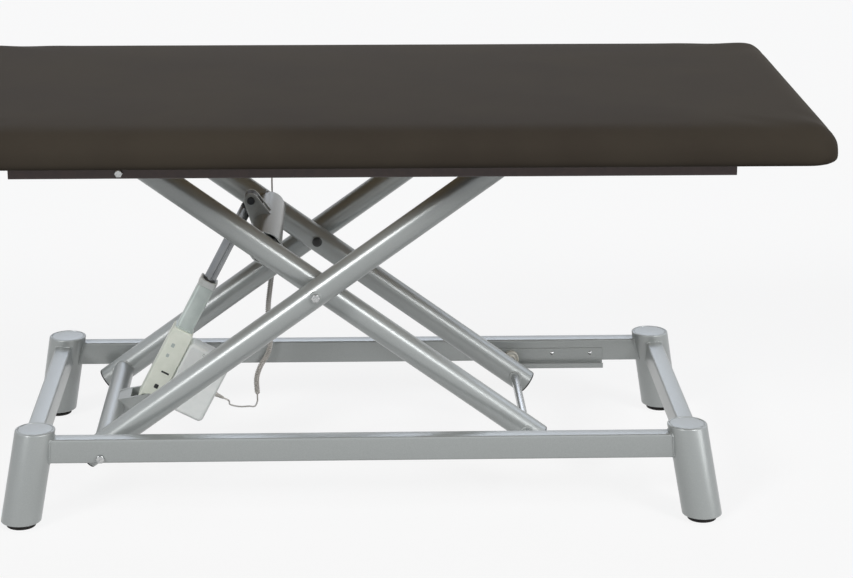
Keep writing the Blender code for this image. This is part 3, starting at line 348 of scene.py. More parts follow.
# Passivated zinc, bright with a faint mottle
zinc = coated("zinc_plated_steel", "#a9abac", "#c6c7c6", 0.27, slot="zinc_steel", metal=1.0, grain=0.004,
              peel=0.002)
base_height = pivot["lift"][2]
pan_head = [(0, -0.001), (0.0045, -0.001), (0.0045, 0.0006, 0.0003), (0.002, 0.0022, 0.001), (0, 0.0024)]
for name, sign in SIDES:
    grid = guide(sign, "base_channel_" + name, base_height, False)
    piece("guide_" + name, capped(grid), silver, "base", "base_channel_" + name)
    wall = sign * (GUIDE_BACK - GUIDE_WALL)
    heads = [turned(pan_head, np.array((x, wall, base_height + SCREW_UP)), -sign * Y, 32) for x in SCREW_X]
    piece("guide_screws_" + name, capped(*heads), zinc, "base")

# Pivot shafts
# Two long hexagon bolts from the front rails to the rear ones, the lower through the outer arms
# and the upper through the inner arms, each closed by a nut behind the rear rail.
RAIL_FACE = RAIL_AT[1] + RAIL_WIDTH / 2
HEAD_HEIGHT, NUT_HEIGHT, THREAD_PAST = 0.007, 0.010, 0.002
BOLT_RADIUS, BOLT_FLATS = 0.006, 0.0173


def hexagon(width, height, origin, along):
    """A hexagon head of a width across its flats, on a round seat and chamfered by a cone.

    At each level the radius is the less of the flat side, (width / 2) / cos, and the cone's radius.
    """
    side = np.cross(along, X)
    angle = np.linspace(0, 2 * np.pi, 96, endpoint=False)
    flat = width / 2 / np.cos(angle % (np.pi / 3) - np.pi / 6)
    level = np.array([(0, 0.93), (0.1, 0.93), (0.101, 1.2), (0.78, 1.2), (0.86, 1.09), (1, 0.92), (1, 0.1)])
    radius = np.minimum(flat, level[:, 1:] * width / 2)[..., None]
    ring = np.cos(angle)[:, None] * X + np.sin(angle)[:, None] * side
    return origin + (height * level[:, :1])[:, None] * along + radius * ring


for level, body, joint, radius, width in (("lower", "base", "lift", BOLT_RADIUS, BOLT_FLATS),
                                          ("upper", "top", "top_level", 0.005, 0.0156)):
    seat = RAIL_FACE + FIT
    tip = seat + NUT_HEIGHT + THREAD_PAST
    at = pivot[joint] * (1, 0, 1)
    shank = turned([(0, -seat), (radius, -seat), (radius, tip, 0.0012), (0, tip)], at, Y, 48)
    head = hexagon(width, HEAD_HEIGHT, at - seat * Y, -Y)
    nut = hexagon(width, NUT_HEIGHT, at + seat * Y, Y)
    piece(level + "_pivot_bolt", capped(shank, head), zinc, body, level + "_pivot_shaft")
    piece(level + "_pivot_hexagon_nut", capped(nut), zinc, body, level + "_pivot_nut")

# Outer arms
# The pair of round tubes that pivot on the base at the left, with bearing bushes welded through
# them. A black plug closes the lower end, and a hexagon bolt joins each to its inner arm.
ARM_RADIUS = 0.030
ARM_LOWER, ARM_UPPER = 0.600, 0.522
LOWER_END, UPPER_END = 0.050, 0.017
PIVOT_BUSH, BUSH, BUSH_PROUD = 0.019, 0.014, 0.002
CENTRE_BOLT = 0.137
OUTER_Y = RAIL_AT[1] - RAIL_WIDTH / 2 - 0.031 - ARM_RADIUS
INNER_Y = OUTER_Y - 2 * ARM_RADIUS - 0.014
rise = unit(pivot["scissor_centre"] - pivot["lift"])
outer = (pivot["lift"] * (1, 0, 1), np.array((rise, Y, np.cross(rise, Y))))


def set_in(points, place):
    """Points of a piece's own frame, carried to its origin and along its three directions."""
    return place[0] + np.asarray(points) @ place[1]


def arm(place, y, start, stop, plain):
    """A straight tube along its frame's first direction; plain is its welded and rounded-off end."""
    soft = [0.0006, 0.0025] if plain == "stop" else [0.0025, 0.0006]
    return turned([(0, start), (ARM_RADIUS, start, soft[0]), (ARM_RADIUS, stop, soft[1]), (0, stop)],
                  set_in((0, y, 0), place), place[1][0], 96)


def bush(place, x, near, far, radius):
    """A round bush across an arm, from near to far in y."""
    return turned([(0, near), (radius, near, 0.0008), (radius, far, 0.0008), (0, far)],
                  set_in((x, 0, 0), place), Y, 48)


def saddle(place, x, y, face, radius, size=0.0022):
    """The weld where a bush meets an arm: a circle of the bush laid on the arm's round side."""
    angle = np.linspace(0, 2 * np.pi, 96, endpoint=False)
    over = radius * np.sin(angle)
    deep = y + face * np.sqrt(ARM_RADIUS ** 2 - over ** 2)
    return bead(set_in(np.stack([x + radius * np.cos(angle), deep, over], -1), place), size)


def plugged(place, y, x, outward):
    """The flange of a plug pushed into an arm's open end, a little domed."""
    rim = ARM_RADIUS - FIT
    outline = [(0, -0.004), (rim - 0.004, -0.004), (rim - 0.004, FIT), (rim, FIT), (rim, 0.0033, 0.0016),
               (rim * 0.6, 0.0037, 0.01), (0, 0.0038)]
    return turned(outline, set_in((x, y, 0), place), outward * place[1][0])


# Low-gloss polyethylene, dark grey rather than black where it catches light
plastic = coated("black_polyethylene", "#191a1b", "#222324", 0.42, slot="black_plastic", peel=0.003)
reach = ARM_RADIUS + BUSH_PROUD
thread = [(0, 0), (BOLT_RADIUS, 0), (BOLT_RADIUS, CENTRE_BOLT), (0, CENTRE_BOLT)]
for name, sign in SIDES:
    y = sign * OUTER_Y
    faces = y - sign * reach, y + sign * reach
    pivot_face = sign * (RAIL_AT[1] - RAIL_WIDTH / 2 - 0.0005)
    grids = capped(arm(outer, y, -LOWER_END, ARM_LOWER + ARM_UPPER + UPPER_END, "stop"),
                   bush(outer, 0, y, pivot_face, PIVOT_BUSH), bush(outer, ARM_LOWER, *faces, BUSH),
                   bush(outer, ARM_LOWER + ARM_UPPER, *faces, BUSH))
    grids += looped(saddle(outer, 0, y, sign, PIVOT_BUSH))
    piece("outer_tube_" + name, grids, silver, "outer_frame", "outer_arm_" + name)
    cap = plugged(outer, y, -LOWER_END, -1)
    piece("outer_plug_" + name, capped(cap), plastic, "outer_frame", "outer_arm_cap_" + name)
    at = set_in((ARM_LOWER, faces[1] + sign * FIT, 0), outer)
    head = hexagon(BOLT_FLATS, HEAD_HEIGHT, at, sign * Y)
    shank = turned(thread, at, -sign * Y, 32)
    piece("centre_hexagon_bolt_" + name, capped(shank, head), zinc, "outer_frame", "centre_bolt_" + name)

# Lower cross tube
# A round tube on the lower pivot line that ties the two outer arms together and takes the thrust
# of the motor. Its ends are cut to the arms' round and welded.
LOWER_TUBE, LOWER_LAP, LOWER_WELD = 0.025, 0.003 * Y, 0.0024
angle = np.linspace(0, 2 * np.pi, 96, endpoint=False)
over = LOWER_TUBE * np.sin(angle)
half = OUTER_Y - np.sqrt(ARM_RADIUS ** 2 - over ** 2)
ends = [set_in(np.stack([LOWER_TUBE * np.cos(angle), side * half, over], -1), outer) for side in (-1, 1)]
grids = capped(np.stack([ends[0] - LOWER_LAP, *ends, ends[1] + LOWER_LAP]))
grids += looped(*(bead(end, LOWER_WELD) for end in ends))
piece("thrust_tube_lower", grids, silver, "outer_frame", "lower_cross_tube")

# Lower fork and its pin
# Two steel ears joined by a web, welded to the lower cross tube, hold the motor's clevis.
# The headed pin is phosphated steel.
EAR = 0.006
PIN, PIN_HEAD = 0.006, (0.009, 0.004)


def plate(outline, profile, place, hole=None, rim=None):
    """An outline in its frame's first and third directions, given depth by a profile of (inset, y).

    Each row is the outline moved in along its own normals by the inset. A hole has its own profile
    rim, and the rows then run over the outside and back through the hole as a loop.
    """
    rows = []
    for line, steps in ((outline, profile), (hole, rim)):
        if line is None:
            continue
        way = unit(np.roll(line, -1, 0) - np.roll(line, 1, 0))
        spin = np.sign((line[:, 0] * np.roll(line[:, 1], -1) - line[:, 1] * np.roll(line[:, 0], -1)).sum())
        inward = spin * np.stack([-way[:, 1], way[:, 0]], -1)
        moved = line + steps[:, None, :1] * inward
        deep = np.broadcast_to(steps[:, None, 1:], (*moved.shape[:2], 1))
        rows.append(np.concatenate([moved[..., :1], deep, moved[..., 1:]], -1))
    return set_in(np.concatenate(rows), place)


def lug(pin, pin_radius, root, root_radius):
    """The tapered outline round two circles, joined by their outer tangents."""
    run = root - pin
    heading = math.atan2(run[1], run[0])
    spread = math.acos((pin_radius - root_radius) / np.linalg.norm(run))
    near = heading + np.linspace(spread, 2 * np.pi - spread, 32)
    far = heading + np.linspace(-spread, spread, 32)
    return np.vstack([pin + pin_radius * np.stack([np.cos(near), np.sin(near)], -1),
                      root + root_radius * np.stack([np.cos(far), np.sin(far)], -1)])


def slab(low, high, edge, deep=0.004):
    """The (inset, y) profile of a plate between two depths, with both its rims rounded."""
    return rounded([(deep, low), (0, low, edge), (0, high, edge), (deep, high)])


def fork(place, pin, pin_radius, root, root_radius, tube, room, inside, low, high):
    """Two ears and the web between them; the web runs from the tube to the room round the pin.

    In lug coordinates, along and across from the root, the web's far side is an arc round the pin.
    """
    ears = lug(pin, pin_radius, root, root_radius)
    run = np.linalg.norm(pin - root)
    along = (pin - root) / run
    across = np.array((-along[1], along[0]))
    offset = np.linspace(low, high, 16)
    far = np.stack([run - np.sqrt(room ** 2 - offset ** 2), offset], -1)
    near = np.array([(tube * 0.6, high), (tube * 0.6, low)])
    web = plate(root + np.vstack([far, near]) @ np.stack([along, across]),
                np.array([(0, -inside - 0.001), (0, inside + 0.001)]), place)
    sides = [plate(ears, slab(*sorted((s * inside, s * (inside + EAR))), 0.001), place) for s in (-1, 1)]
    return capped(*sides, web)


def both_ways(half):
    """A turned outline of (radius, distance, rounding) corners and its mirror image before it."""
    return [(radius, -far, *edge) for radius, far, *edge in half[::-1]] + half


def headed_pin(place, pin, inside):
    """A round pin through both ears with a domed head outside each."""
    seat, (radius, high) = inside + EAR + FIT, PIN_HEAD
    half = [(PIN, seat), (radius, seat, 0.0003), (radius, seat + high, 0.0012), (0, seat + high + 0.0002)]
    return turned(both_ways(half), set_in((pin[0], 0, pin[1]), place), Y, 48)


# Dark grey phosphate, oiled
phosphate = coated("phosphated_steel", "#2b2c2e", "#3a3b3d", 0.45, slot="dark_steel", metal=0.7, grain=0.003,
                   peel=0.0012, relief=0.1)
MOTOR_DEPTH, SPAN = 0.0626, 0.5456
stroke = next(joint for joint in frame["joints"] if joint["name"] == "rod_stroke")
drive_way = unit(-np.array(stroke["axis"], float))
drive = (pivot["rod_swing"] * (1, 0, 1), np.array((drive_way, Y, np.cross(drive_way, Y))))
lower_pin = ((drive[0] - SPAN * drive_way - outer[0]) @ outer[1].T)[[0, 2]]
inside = MOTOR_DEPTH / 2 + 0.0005
grids = fork(outer, lower_pin, pin_radius=0.016, root=np.zeros(2), root_radius=0.022, tube=LOWER_TUBE,
             room=0.043, inside=inside, low=-0.0185, high=0.0185)
piece("motor_fork", grids, silver, "outer_frame", "lower_actuator_bracket")
pin = headed_pin(outer, lower_pin, inside)
piece("motor_pin", capped(pin), phosphate, "outer_frame", "lower_clevis_pin")

# Inner arms
# The pair of tubes that pivot under the top at the left, inside the outer pair.
# A black plug closes the lower end, and a small one covers each centre bolt's thread.
INNER_END = 0.035
COVER = (0.012, 0.005)
fall = rise * (1, 1, -1)
inner = (pivot["scissor_centre"] * (1, 0, 1), np.array((fall, Y, np.cross(fall, Y))))
for name, sign in SIDES:
    y = sign * INNER_Y
    faces = y - sign * reach, y + sign * reach
    centre_face = sign * (OUTER_Y - reach - 0.0005)
    grids = capped(arm(inner, y, -ARM_UPPER - UPPER_END, ARM_LOWER + INNER_END, "start"),
                   bush(inner, 0, faces[0], centre_face, BUSH), bush(inner, -ARM_UPPER, *faces, BUSH),
                   bush(inner, ARM_LOWER, *faces, BUSH))
    welds = (0, sign), (-ARM_UPPER, 1), (-ARM_UPPER, -1), (ARM_LOWER, 1), (ARM_LOWER, -1)
    grids += looped(*(saddle(inner, x, y, face, BUSH) for x, face in welds))
    piece("inner_tube_" + name, grids, silver, "inner_frame", "inner_arm_" + name)
    cap = plugged(inner, y, ARM_LOWER + INNER_END, 1)
    piece("inner_plug_" + name, capped(cap), plastic, "inner_frame", "inner_arm_cap_" + name)
    wide, high = COVER
    cover = turned([(0, 0), (wide, 0), (wide, 0.0022, 0.001), (wide / 2, high - 0.0004, 0.006), (0, high)],
                   set_in((0, faces[0] - sign * FIT, 0), inner), -sign * Y, 48)
    piece("centre_cover_" + name, capped(cover), plastic, "inner_frame", "centre_plug_" + name)

# Upper cross tube
# A wider tube between the inner arms, cut to half-wrap them and welded where it touches.
# The open crescents of its ends show past the arms.
UPPER_TUBE, TUBE_WALL, UPPER_AT = 0.038, 0.003, -0.142
HALF_WRAP, UPPER_WELD, WELD_TURN = 0.010, 0.0026, 0.85
ends = {}
for radius in (UPPER_TUBE, UPPER_TUBE - TUBE_WALL):
    over = radius * np.sin(angle)
    half = INNER_Y - np.maximum(np.sqrt(np.maximum(ARM_RADIUS ** 2 - over ** 2, 0)), HALF_WRAP)
    line = np.stack([UPPER_AT + radius * np.cos(angle), half, over], -1)
    ends[radius] = [set_in(line * (1, side, 1), inner) for side in (-1, 1)]
(low, high), (low_in, high_in) = ends.values()
grids = looped(np.stack([low, high, high_in, low_in]))
touch = np.linspace(-WELD_TURN, WELD_TURN, 64)
over = UPPER_TUBE * np.sin(touch)
half = INNER_Y - np.sqrt(ARM_RADIUS ** 2 - over ** 2)
for turn in (-1, 1):
    line = np.stack([UPPER_AT + turn * UPPER_TUBE * np.cos(touch), half, over], -1)
    grids += capped(*(bead(set_in(line * (1, side, 1), inner), UPPER_WELD, False) for side in (-1, 1)))
piece("thrust_tube_upper", grids, silver, "inner_frame", "upper_cross_tube")

# Upper fork and its pin
# Two ears and a web on the upper cross tube hold the eye of the lifting rod.
# The web is cut away on the side where the rod swings.
EYE_WIDTH = 0.031
upper_pin = ((drive[0] - inner[0]) @ inner[1].T)[[0, 2]]
inside = EYE_WIDTH / 2 + 0.0005
grids = fork(inner, upper_pin, pin_radius=0.017, root=np.array((UPPER_AT, 0)), root_radius=0.030,
             tube=UPPER_TUBE, room=0.030, inside=inside, low=-0.019, high=0.010)
piece("rod_fork", grids, silver, "inner_frame", "upper_actuator_bracket")
pin = headed_pin(inner, upper_pin, inside)
piece("rod_pin", capped(pin), phosphate, "inner_frame", "upper_clevis_pin")

# Axles and rollers
# A bright steel rod joins the sliding ends of each pair of arms, with a nylon roller on each
# stepped-down end that runs in a guide channel.
AXLE, STUB = 0.010, 0.006
AXLE_END, ROLLER_Y = GUIDE_BACK - GUIDE_DEPTH - 0.004, GUIDE_BACK - GUIDE_DEPTH / 2
STUB_END = ROLLER_Y + 0.0085
ROLLER, ROLLER_HALF, DISH = 0.0196, 0.007, 0.002
# Off-white nylon, a little waxy
nylon = coated("white_nylon", "#d6d3c8", "#e2dfd6", 0.38, grain=0.01, peel=0.004, relief=0.04)
for level, body, place, x in (("upper", "outer_frame", outer, ARM_LOWER + ARM_UPPER),
                              ("lower", "inner_frame", inner, ARM_LOWER)):
    at = set_in((x, 0, 0), place)
    half = [(AXLE, AXLE_END, 0.001), (STUB, AXLE_END), (STUB, STUB_END, 0.0008), (0, STUB_END)]
    rod = turned(both_ways(half), at, Y, 48)
    piece(level + "_axle_rod", capped(rod), zinc, body, level + "_axle")
    sunk = ROLLER_HALF - DISH
    half = [(ROLLER, ROLLER_HALF, 0.0012), (0.0165, ROLLER_HALF, 0.0005), (0.0155, sunk, 0.0005),
            (0.0105, sunk, 0.0005), (0.0095, ROLLER_HALF, 0.0005), (STUB + FIT, ROLLER_HALF)]
    for name, sign in SIDES:
        wheel = turned(both_ways(half), at + sign * ROLLER_Y * Y, Y, 64, True)
        node = f"{level}_roller_{name}"
        spins = next(b for b, members in frame["record"]["behaviour"]["bodies"].items() if node in members)
        piece(node + "_wheel", looped(wheel), nylon, spins, node)

# Lifting rod and eye
# The chromed rod slides out of the drive and ends in a dark steel eye on the upper pin.
# A short collar on the eye's neck seats on the rod, which is screwed into it.
TUBE_TOP = 0.308 - SPAN
ROD, ROD_INSIDE, EYE, NECK = 0.0145, 0.030, 0.016, 0.024
# Hard chrome, nearly a mirror
chrome = coated("chromed_steel", "#7d7f81", "#898b8d", 0.16, metal=1.0, grain=0.05, peel=0.003, relief=0.01)
low, high = TUBE_TOP - ROD_INSIDE, -NECK - FIT
rod = turned([(0, low), (ROD, low), (ROD, high, 0.0012), (0, high)], drive[0], drive_way, 64)
piece("lifting_rod", capped(rod), chrome, "rod", "piston_rod")
half = EYE_WIDTH / 2
ring = turned(both_ways([(EYE, half, 0.0015), (PIN + FIT, half, 0.0006)]), drive[0], Y, 64, True)
neck = turned([(0, -NECK), (0.0142, -NECK, 0.0006), (0.0142, -0.0195, 0.0006), (0.0128, -0.0185, 0.0006),
               (0.0128, -PIN), (0, -PIN)], drive[0], drive_way, 48)
piece("forged_eye", looped(ring) + capped(neck), phosphate, "rod", "rod_eye")

# Drive tube
# The outer tube of the actuator is a flat-sided aluminium extrusion on a low base flange.
# A moulded cap with two raised cheeks guides the rod at its top.
MOTOR_TOP = 0.190 - SPAN
TUBE_DEPTH, TUBE_WIDTH, TUBE_EDGE = 0.044, 0.040, 0.007
CAP_OVER, CAP_LENGTH, CHEEK = 0.001, 0.020, 0.006
up_drive = (drive[0], np.array((Y, drive_way, drive[1][2])))
# Grey anodising with a soft sheen
anodised = coated("grey_anodised_aluminium", "#bbc5c1", "#c7d0cc", 0.38, slot="grey_aluminium", metal=0.4,
                  grain=0.03, peel=0.002, relief=0.03)
steps = rounded([(0.001, MOTOR_TOP), (-0.002, MOTOR_TOP, 0.0005), (-0.002, MOTOR_TOP + 0.005, 0.001),
                 (0, MOTOR_TOP + 0.0055, 0.0005), (0, TUBE_TOP, 0.0004), (0.001, TUBE_TOP)])
skin, hollow = (box_outline(TUBE_DEPTH - 2 * wall, TUBE_WIDTH - 2 * wall, TUBE_EDGE - wall)
                for wall in (0, TUBE_WALL))
tube = plate(skin, steps, up_drive, hollow, np.array([(0, TUBE_TOP), (0, MOTOR_TOP)]))
piece("drive_tube", looped(tube), anodised, "barrel", "actuator_tube")
# Pale grey moulded ABS with a fine spark-eroded texture
grey_abs = coated("pale_grey_abs", "#eef2f0", "#f4f7f5", 0.5, peel=0.0012, relief=0.12)


def cheeked_cap():
    """A square cap with a round hole, whose top is lower in the middle than at its two sides.

    The top sinks by the cheek's height times one minus the square of the distance out to a side.
    """
    wide, deep = TUBE_WIDTH + 2 * CAP_OVER, TUBE_DEPTH + 2 * CAP_OVER
    steps = rounded([(0.001, FIT), (0, FIT, 0.0006), (0, 0.006, 0.0003), (0.0007, 0.0066, 0.0003),
                     (0, 0.0072, 0.0003), (0, CAP_LENGTH, 0.003), (0.0035, CAP_LENGTH)])
    hole = box_outline(2 * (ROD + FIT), 2 * (ROD + FIT), ROD)
    rim = np.array([(-0.0012, CAP_LENGTH - 0.001), (0, CAP_LENGTH - 0.003), (0, FIT)])
    grid = plate(box_outline(deep, wide, TUBE_EDGE + CAP_OVER), steps, (0 * X, np.eye(3)), hole, rim)
    high = np.clip(grid[..., 1] / CAP_LENGTH - 0.5, 0, None) * 2
    grid[..., 1] += TUBE_TOP - CHEEK * high * (1 - (2 * grid[..., 2] / wide) ** 2)
    return set_in(grid, up_drive)


piece("rod_collar", looped(cheeked_cap()), grey_abs, "barrel", "tube_collar")

# Motor housing
# A cream moulding over the motor and its gears, with a slot across its end for the lower pin.
# A parting line runs round it, and each side has two metal clips, a plug and a flat black patch that is
# painted shade for a vent's opening.
WIDTH, DEPTH, FOOT = 0.026, MOTOR_DEPTH / 2, -SPAN
SHOULDER, TOE = 0.0078, WIDTH - 0.0005
SLOT_LONG, SLOT_WIDE = 0.043, 0.020
ROD_ROOM, BORE = 0.100, ROD + 2 * FIT
CLIPS = ((0.148, 0.0074, 0.010, 0.008), (0.120, 0.0081, 0.009, 0.007))
# The first of these is no fitting but a flat black patch, painted shade where the vent opens; the second is a
# plug.
PLUG_AND_VENT_SHADE = ((0.078, -0.0057, 0.0045, 0.020), (0.0385, -0.0017, 0.011, 0.010))
# Cream ABS, warmer than the control box
cream = coated("cream_abs", "#ebf0e3", "#f2f6ea", 0.48, peel=0.0012, relief=0.12)
cover = rounded([(FOOT - WIDTH, -WIDTH, TOE), (MOTOR_TOP, -WIDTH, SHOULDER), (MOTOR_TOP, WIDTH, SHOULDER),
                 (FOOT - WIDTH, WIDTH, TOE)], True, 14)
slot = box_outline(SLOT_WIDE, SLOT_LONG, SLOT_WIDE / 2 - 0.0002, 14) + (FOOT, 0)
seam = rounded([(0.0032, -DEPTH), (0, -DEPTH, 0.003), (0, -0.0004, 0.0002), (0.0004, 0, 0.0002),
                (0, 0.0004, 0.0002), (0, DEPTH, 0.003), (0.0032, DEPTH)], steps=8)
through = np.array([(-0.0008, DEPTH), (0, DEPTH - 0.0008), (0, -DEPTH + 0.0008), (-0.0008, -DEPTH)])
grid = plate(cover, seam, drive, slot, through)
motor = piece("motor_cover", looped(grid), cream, "barrel", "motor_housing")


def settled(thing):
    """The mesh of an object as its modifiers leave it now."""
    return bpy.data.meshes.new_from_object(thing.evaluated_get(bpy.context.evaluated_depsgraph_get()))


low, high = MOTOR_TOP - ROD_ROOM, MOTOR_TOP + 0.003
bore = turned([(0, low), (BORE, low), (BORE, high), (0, high)], drive[0], drive_way, 48)
drill = shell("rod_bore", capped(bore))
motor.modifiers.new("room_for_the_rod", "BOOLEAN").object = drill
motor.data = settled(motor)
motor.modifiers.clear()
bpy.data.objects.remove(drill)


def set_on(x, z, long, wide, side):
    """A flat fitting or black patch let into the housing's face: a rounded rectangle that stands 0.4 mm
    proud.
    """
    outline = box_outline(long, wide, 0.002) + (FOOT + x, z)
    low, high = sorted((side * (DEPTH - 0.001), side * (DEPTH + 0.0004)))
    return plate(outline, slab(low, high, 0.0003, 0.0015), drive)


# The black plastic set is a plug and, as painted shade, the dark opening of a vent.
for name, finish, places in (("motor_clips", anodised, CLIPS), ("motor_plugs", plastic, PLUG_AND_VENT_SHADE)):
    grids = capped(*(set_on(*place, side) for place in places for side in (-1, 1)))
    piece(name, grids, finish, "barrel")

# Control box
# A pale grey box screwed along the motor housing, with a lid set off by a groove all round.
# Two sunk screws hold the lid.
BOX, BOX_CORNER = (0.171, 0.111, 0.058), 0.012
BOX_LOW, BOX_SIDE = FOOT + 0.001, -WIDTH - FIT
LID_SCREWS = (0.016, 0.158)
deep = BOX[2] / 2
ring = box_outline(*BOX[:2], BOX_CORNER, 10) + (BOX_LOW + BOX[0] / 2, BOX_SIDE - BOX[1] / 2)
steps = rounded([(0.0118, -deep), (0, -deep, 0.0085), (0, -0.0127, 0.0002), (0.0012, -0.0122, 0.0002),
                 (0.0012, -0.0113, 0.0002), (0, -0.0108, 0.0002), (0, deep, 0.0085), (0.0118, deep)], steps=8)
piece("drive_box", capped(plate(ring, steps, drive)), grey_abs, "barrel", "control_box")
sunk_head = [(0, 0), (0.0034, 0), (0.0034, 0.001, 0.0003), (0.0022, 0.0009, 0.0002), (0.0018, 0.0002, 0.0001),
             (0, 0.0002)]
at = [set_in((FOOT + x, -deep + 0.0006, BOX_SIDE - BOX[1] / 2 + 0.013), drive) for x in LID_SCREWS]
piece("drive_box_screws", capped(*(turned(sunk_head, spot, -Y, 32) for spot in at)), zinc, "barrel")

# Top rails and cross members
# Rectangular tubes with open ends carry the board, the long pair on the scissors and the short
# pair between them. They are sprayed dark brown to go with the pad.
TOP_RAIL = (1.586, 0.050)
TOP_BASE = pivot["top_level"][2] - 0.0135
CROSS, CROSS_EDGE, CROSS_WELD = (0.040, 0.030), 0.004, 0.0022
# Satin dark brown paint, slightly red
brown = coated("brown_paint", "#3b2e2c", "#443532", 0.4, peel=0.004)


def box_tube(width, height, edge, centre, across, along):
    """A hollow rectangular tube that runs from its centre by the vector along, both ways.

    The outer outline goes from end to end and the inner one back, as a loop.
    """
    skin, hole = (centre + ring[:, :1] * across + ring[:, 1:] * Z for ring in (
        box_outline(width - 2 * wall, height - 2 * wall, edge - wall) for wall in (0, TUBE_WALL)))
    return np.stack([skin - along, skin + along, hole + along, hole - along])


for name, sign in SIDES:
    centre = np.array((0, sign * RAIL_AT[1], TOP_BASE + TOP_RAIL[1] / 2))
    tube = box_tube(RAIL_WIDTH, TOP_RAIL[1], RAIL_EDGE, centre, Y, TOP_RAIL[0] / 2 * X)
    piece("deck_rail_" + name, looped(tube), brown, "top", "top_rail_" + name)
for name, sign in (("left", -1), ("right", 1)):
    centre = np.array((sign * (TOP_RAIL[0] - CROSS[0]) / 2, 0, TOP_BASE + TOP_RAIL[1] - CROSS[1] / 2))
    tube = box_tube(*CROSS, CROSS_EDGE, centre, X, (RAIL_AT[1] - RAIL_WIDTH / 2) * Y)
    grids = looped(tube, *(bead(finer(end), CROSS_WELD) for end in tube[:2]))
    piece("deck_cross_" + name, grids, brown, "top", "top_cross_" + name)

# Upper guides
# Lipped channels of zinc plated steel, welded to the inner faces of the top rails, which hold the
# rollers of the outer arms from below and above.
for name, sign in SIDES:
    grid = guide(sign, "top_channel_" + name, pivot["top_level"][2], True)
    piece("deck_guide_" + name, capped(grid), zinc, "top", "top_channel_" + name)

# Board
# Birch plywood under the padding, flush with the turned-in edge of the cover.
# Its face grain runs along the table.
PAD = np.array((1.996, 1.030, 0.089))
PAD_BASE = TOP_BASE + TOP_RAIL[1] + FIT
BOARD_IN, BOARD_HIGH, BOARD_CORNER = 0.040, 0.012, 0.012
plywood, tree, shader, at = blank("birch_plywood")
# Pale wood with long brownish streaks, dull
stretch = add(tree, "Mapping", {"Scale": (2.0, 60.0, 60.0)}, {"Vector": at})
grain = add(tree, "TexNoise", {"Scale": 1.0, "Detail": 5.0, "Distortion": 0.4}, {"Vector": stretch})
wire(shader, {"Roughness": 0.65}, {"Base Color": tones(tree, grain, "#b9955f", "#d9bd92")})
flat = box_outline(*(PAD[:2] - 2 * BOARD_IN), BOARD_CORNER)
level = (PAD_BASE * Z, np.array((X, Z, Y)))
board = plate(flat, slab(0, BOARD_HIGH, 0.0006, 0.002), level)
piece("plywood_deck", capped(board), (plywood, "birch_plywood"), "top", "deck_board")

# Pad
# One slab of firm foam under dark brown leathercloth, pulled over the edges and stapled below.
# The cover is blown up a little by a cloth simulation so that its faces swell between the edges.
PLAN_CORNER, EDGE_IN, EDGE_DOWN, UNDER, CROWN = 0.060, 0.062, 0.060, 0.016, 0.004
CELL, SWELL, FOLD = 0.016, 0.003, 0.006
FRAMES = 20


def level_line(inset, height):
    """The pad's outline at a height, moved in by an inset, with its corners tightened as it goes."""
    line = box_outline(*(PAD[:2] - 2 * inset), max(PLAN_CORNER - inset, FOLD), 10)
    return np.column_stack([line, np.full(len(line), PAD_BASE + height)])


quarter = np.linspace(0, np.pi / 2, 9)
low_edge = np.stack([UNDER * (1 - np.sin(quarter)), UNDER * (1 - np.cos(quarter))], -1)
high_edge = np.stack([EDGE_IN * (1 - np.cos(quarter)),
                      PAD[2] - CROWN - EDGE_DOWN * (1 - np.sin(quarter))], -1)
rim = np.stack([level_line(*step) for step in np.vstack([low_edge, high_edge])])
shrink = np.linspace(1, 0.004, 40)[1:, None, None]
crown = rim[-1] * (1, 1, 0) * shrink + (PAD_BASE + PAD[2] - CROWN * shrink ** 2) * Z
bottom = rim[0] * (1, 1, 0) * shrink[::-1] + PAD_BASE * Z
shape = np.concatenate([bottom, rim, crown])

# Leathercloth: fine pebbled grain, a low satin sheen and a slight change of tone over the table
vinyl, tree, shader, at = blank("brown_leathercloth")
pebble = add(tree, "TexVoronoi", {"feature": "DISTANCE_TO_EDGE", "Scale": 1 / 0.003}, {"Vector": at})
cloud = add(tree, "TexNoise", {"Scale": 1 / 0.25, "Detail": 3.0}, {"Vector": at})
bump = add(tree, "Bump", {"Strength": 0.25, "Distance": 0.0006}, {"Height": pebble})
dull = add(tree, "MapRange", {"To Min": 0.5, "To Max": 0.58}, {"Value": cloud})
wire(shader, {"Specular IOR Level": 0.01},
     {"Base Color": tones(tree, cloud, "#413b34", "#464038"), "Roughness": dull, "Normal": bump})

pad = piece("leathercloth_pad", capped(shape), (vinyl, "brown_vinyl"), "top", "pad")
mould = put("pad_mould", pad.data.copy())
remesh = pad.modifiers.new("cells", "REMESH")
remesh.mode = "VOXEL"
remesh.voxel_size = CELL
remesh.use_smooth_shade = True
pad.modifiers.new("true", "SHRINKWRAP").target = mould
pad.data = settled(pad)
pad.modifiers.clear()
bpy.data.objects.remove(mould)
rest = np.empty(len(pad.data.vertices) * 3)
pad.data.vertices.foreach_get("co", rest)
rest = rest.reshape(-1, 3)
held = pad.vertex_groups.new(name="held")
held.add(np.flatnonzero(rest[:, 2] < PAD_BASE + FOLD).tolist(), 1.0, "REPLACE")
cloth = pad.modifiers.new("cover", "CLOTH")
cloth.settings.quality = 5
cloth.settings.tension_stiffness = cloth.settings.compression_stiffness = 25
cloth.settings.bending_stiffness = 2.0
cloth.settings.use_pressure = True
cloth.settings.uniform_pressure_force = 4
cloth.settings.vertex_group_mass = "held"
cloth.settings.effector_weights.gravity = 0
cloth.point_cache.frame_start, cloth.point_cache.frame_end = 1, FRAMES
for number in range(1, FRAMES + 1):
    scene.frame_set(number)
blown = np.empty(rest.size)
settled(pad).vertices.foreach_get("co", blown)
scene.frame_set(1)
pad.modifiers.clear()
moved = blown.reshape(-1, 3) - rest
far = np.linalg.norm(moved, axis=1, keepdims=True)
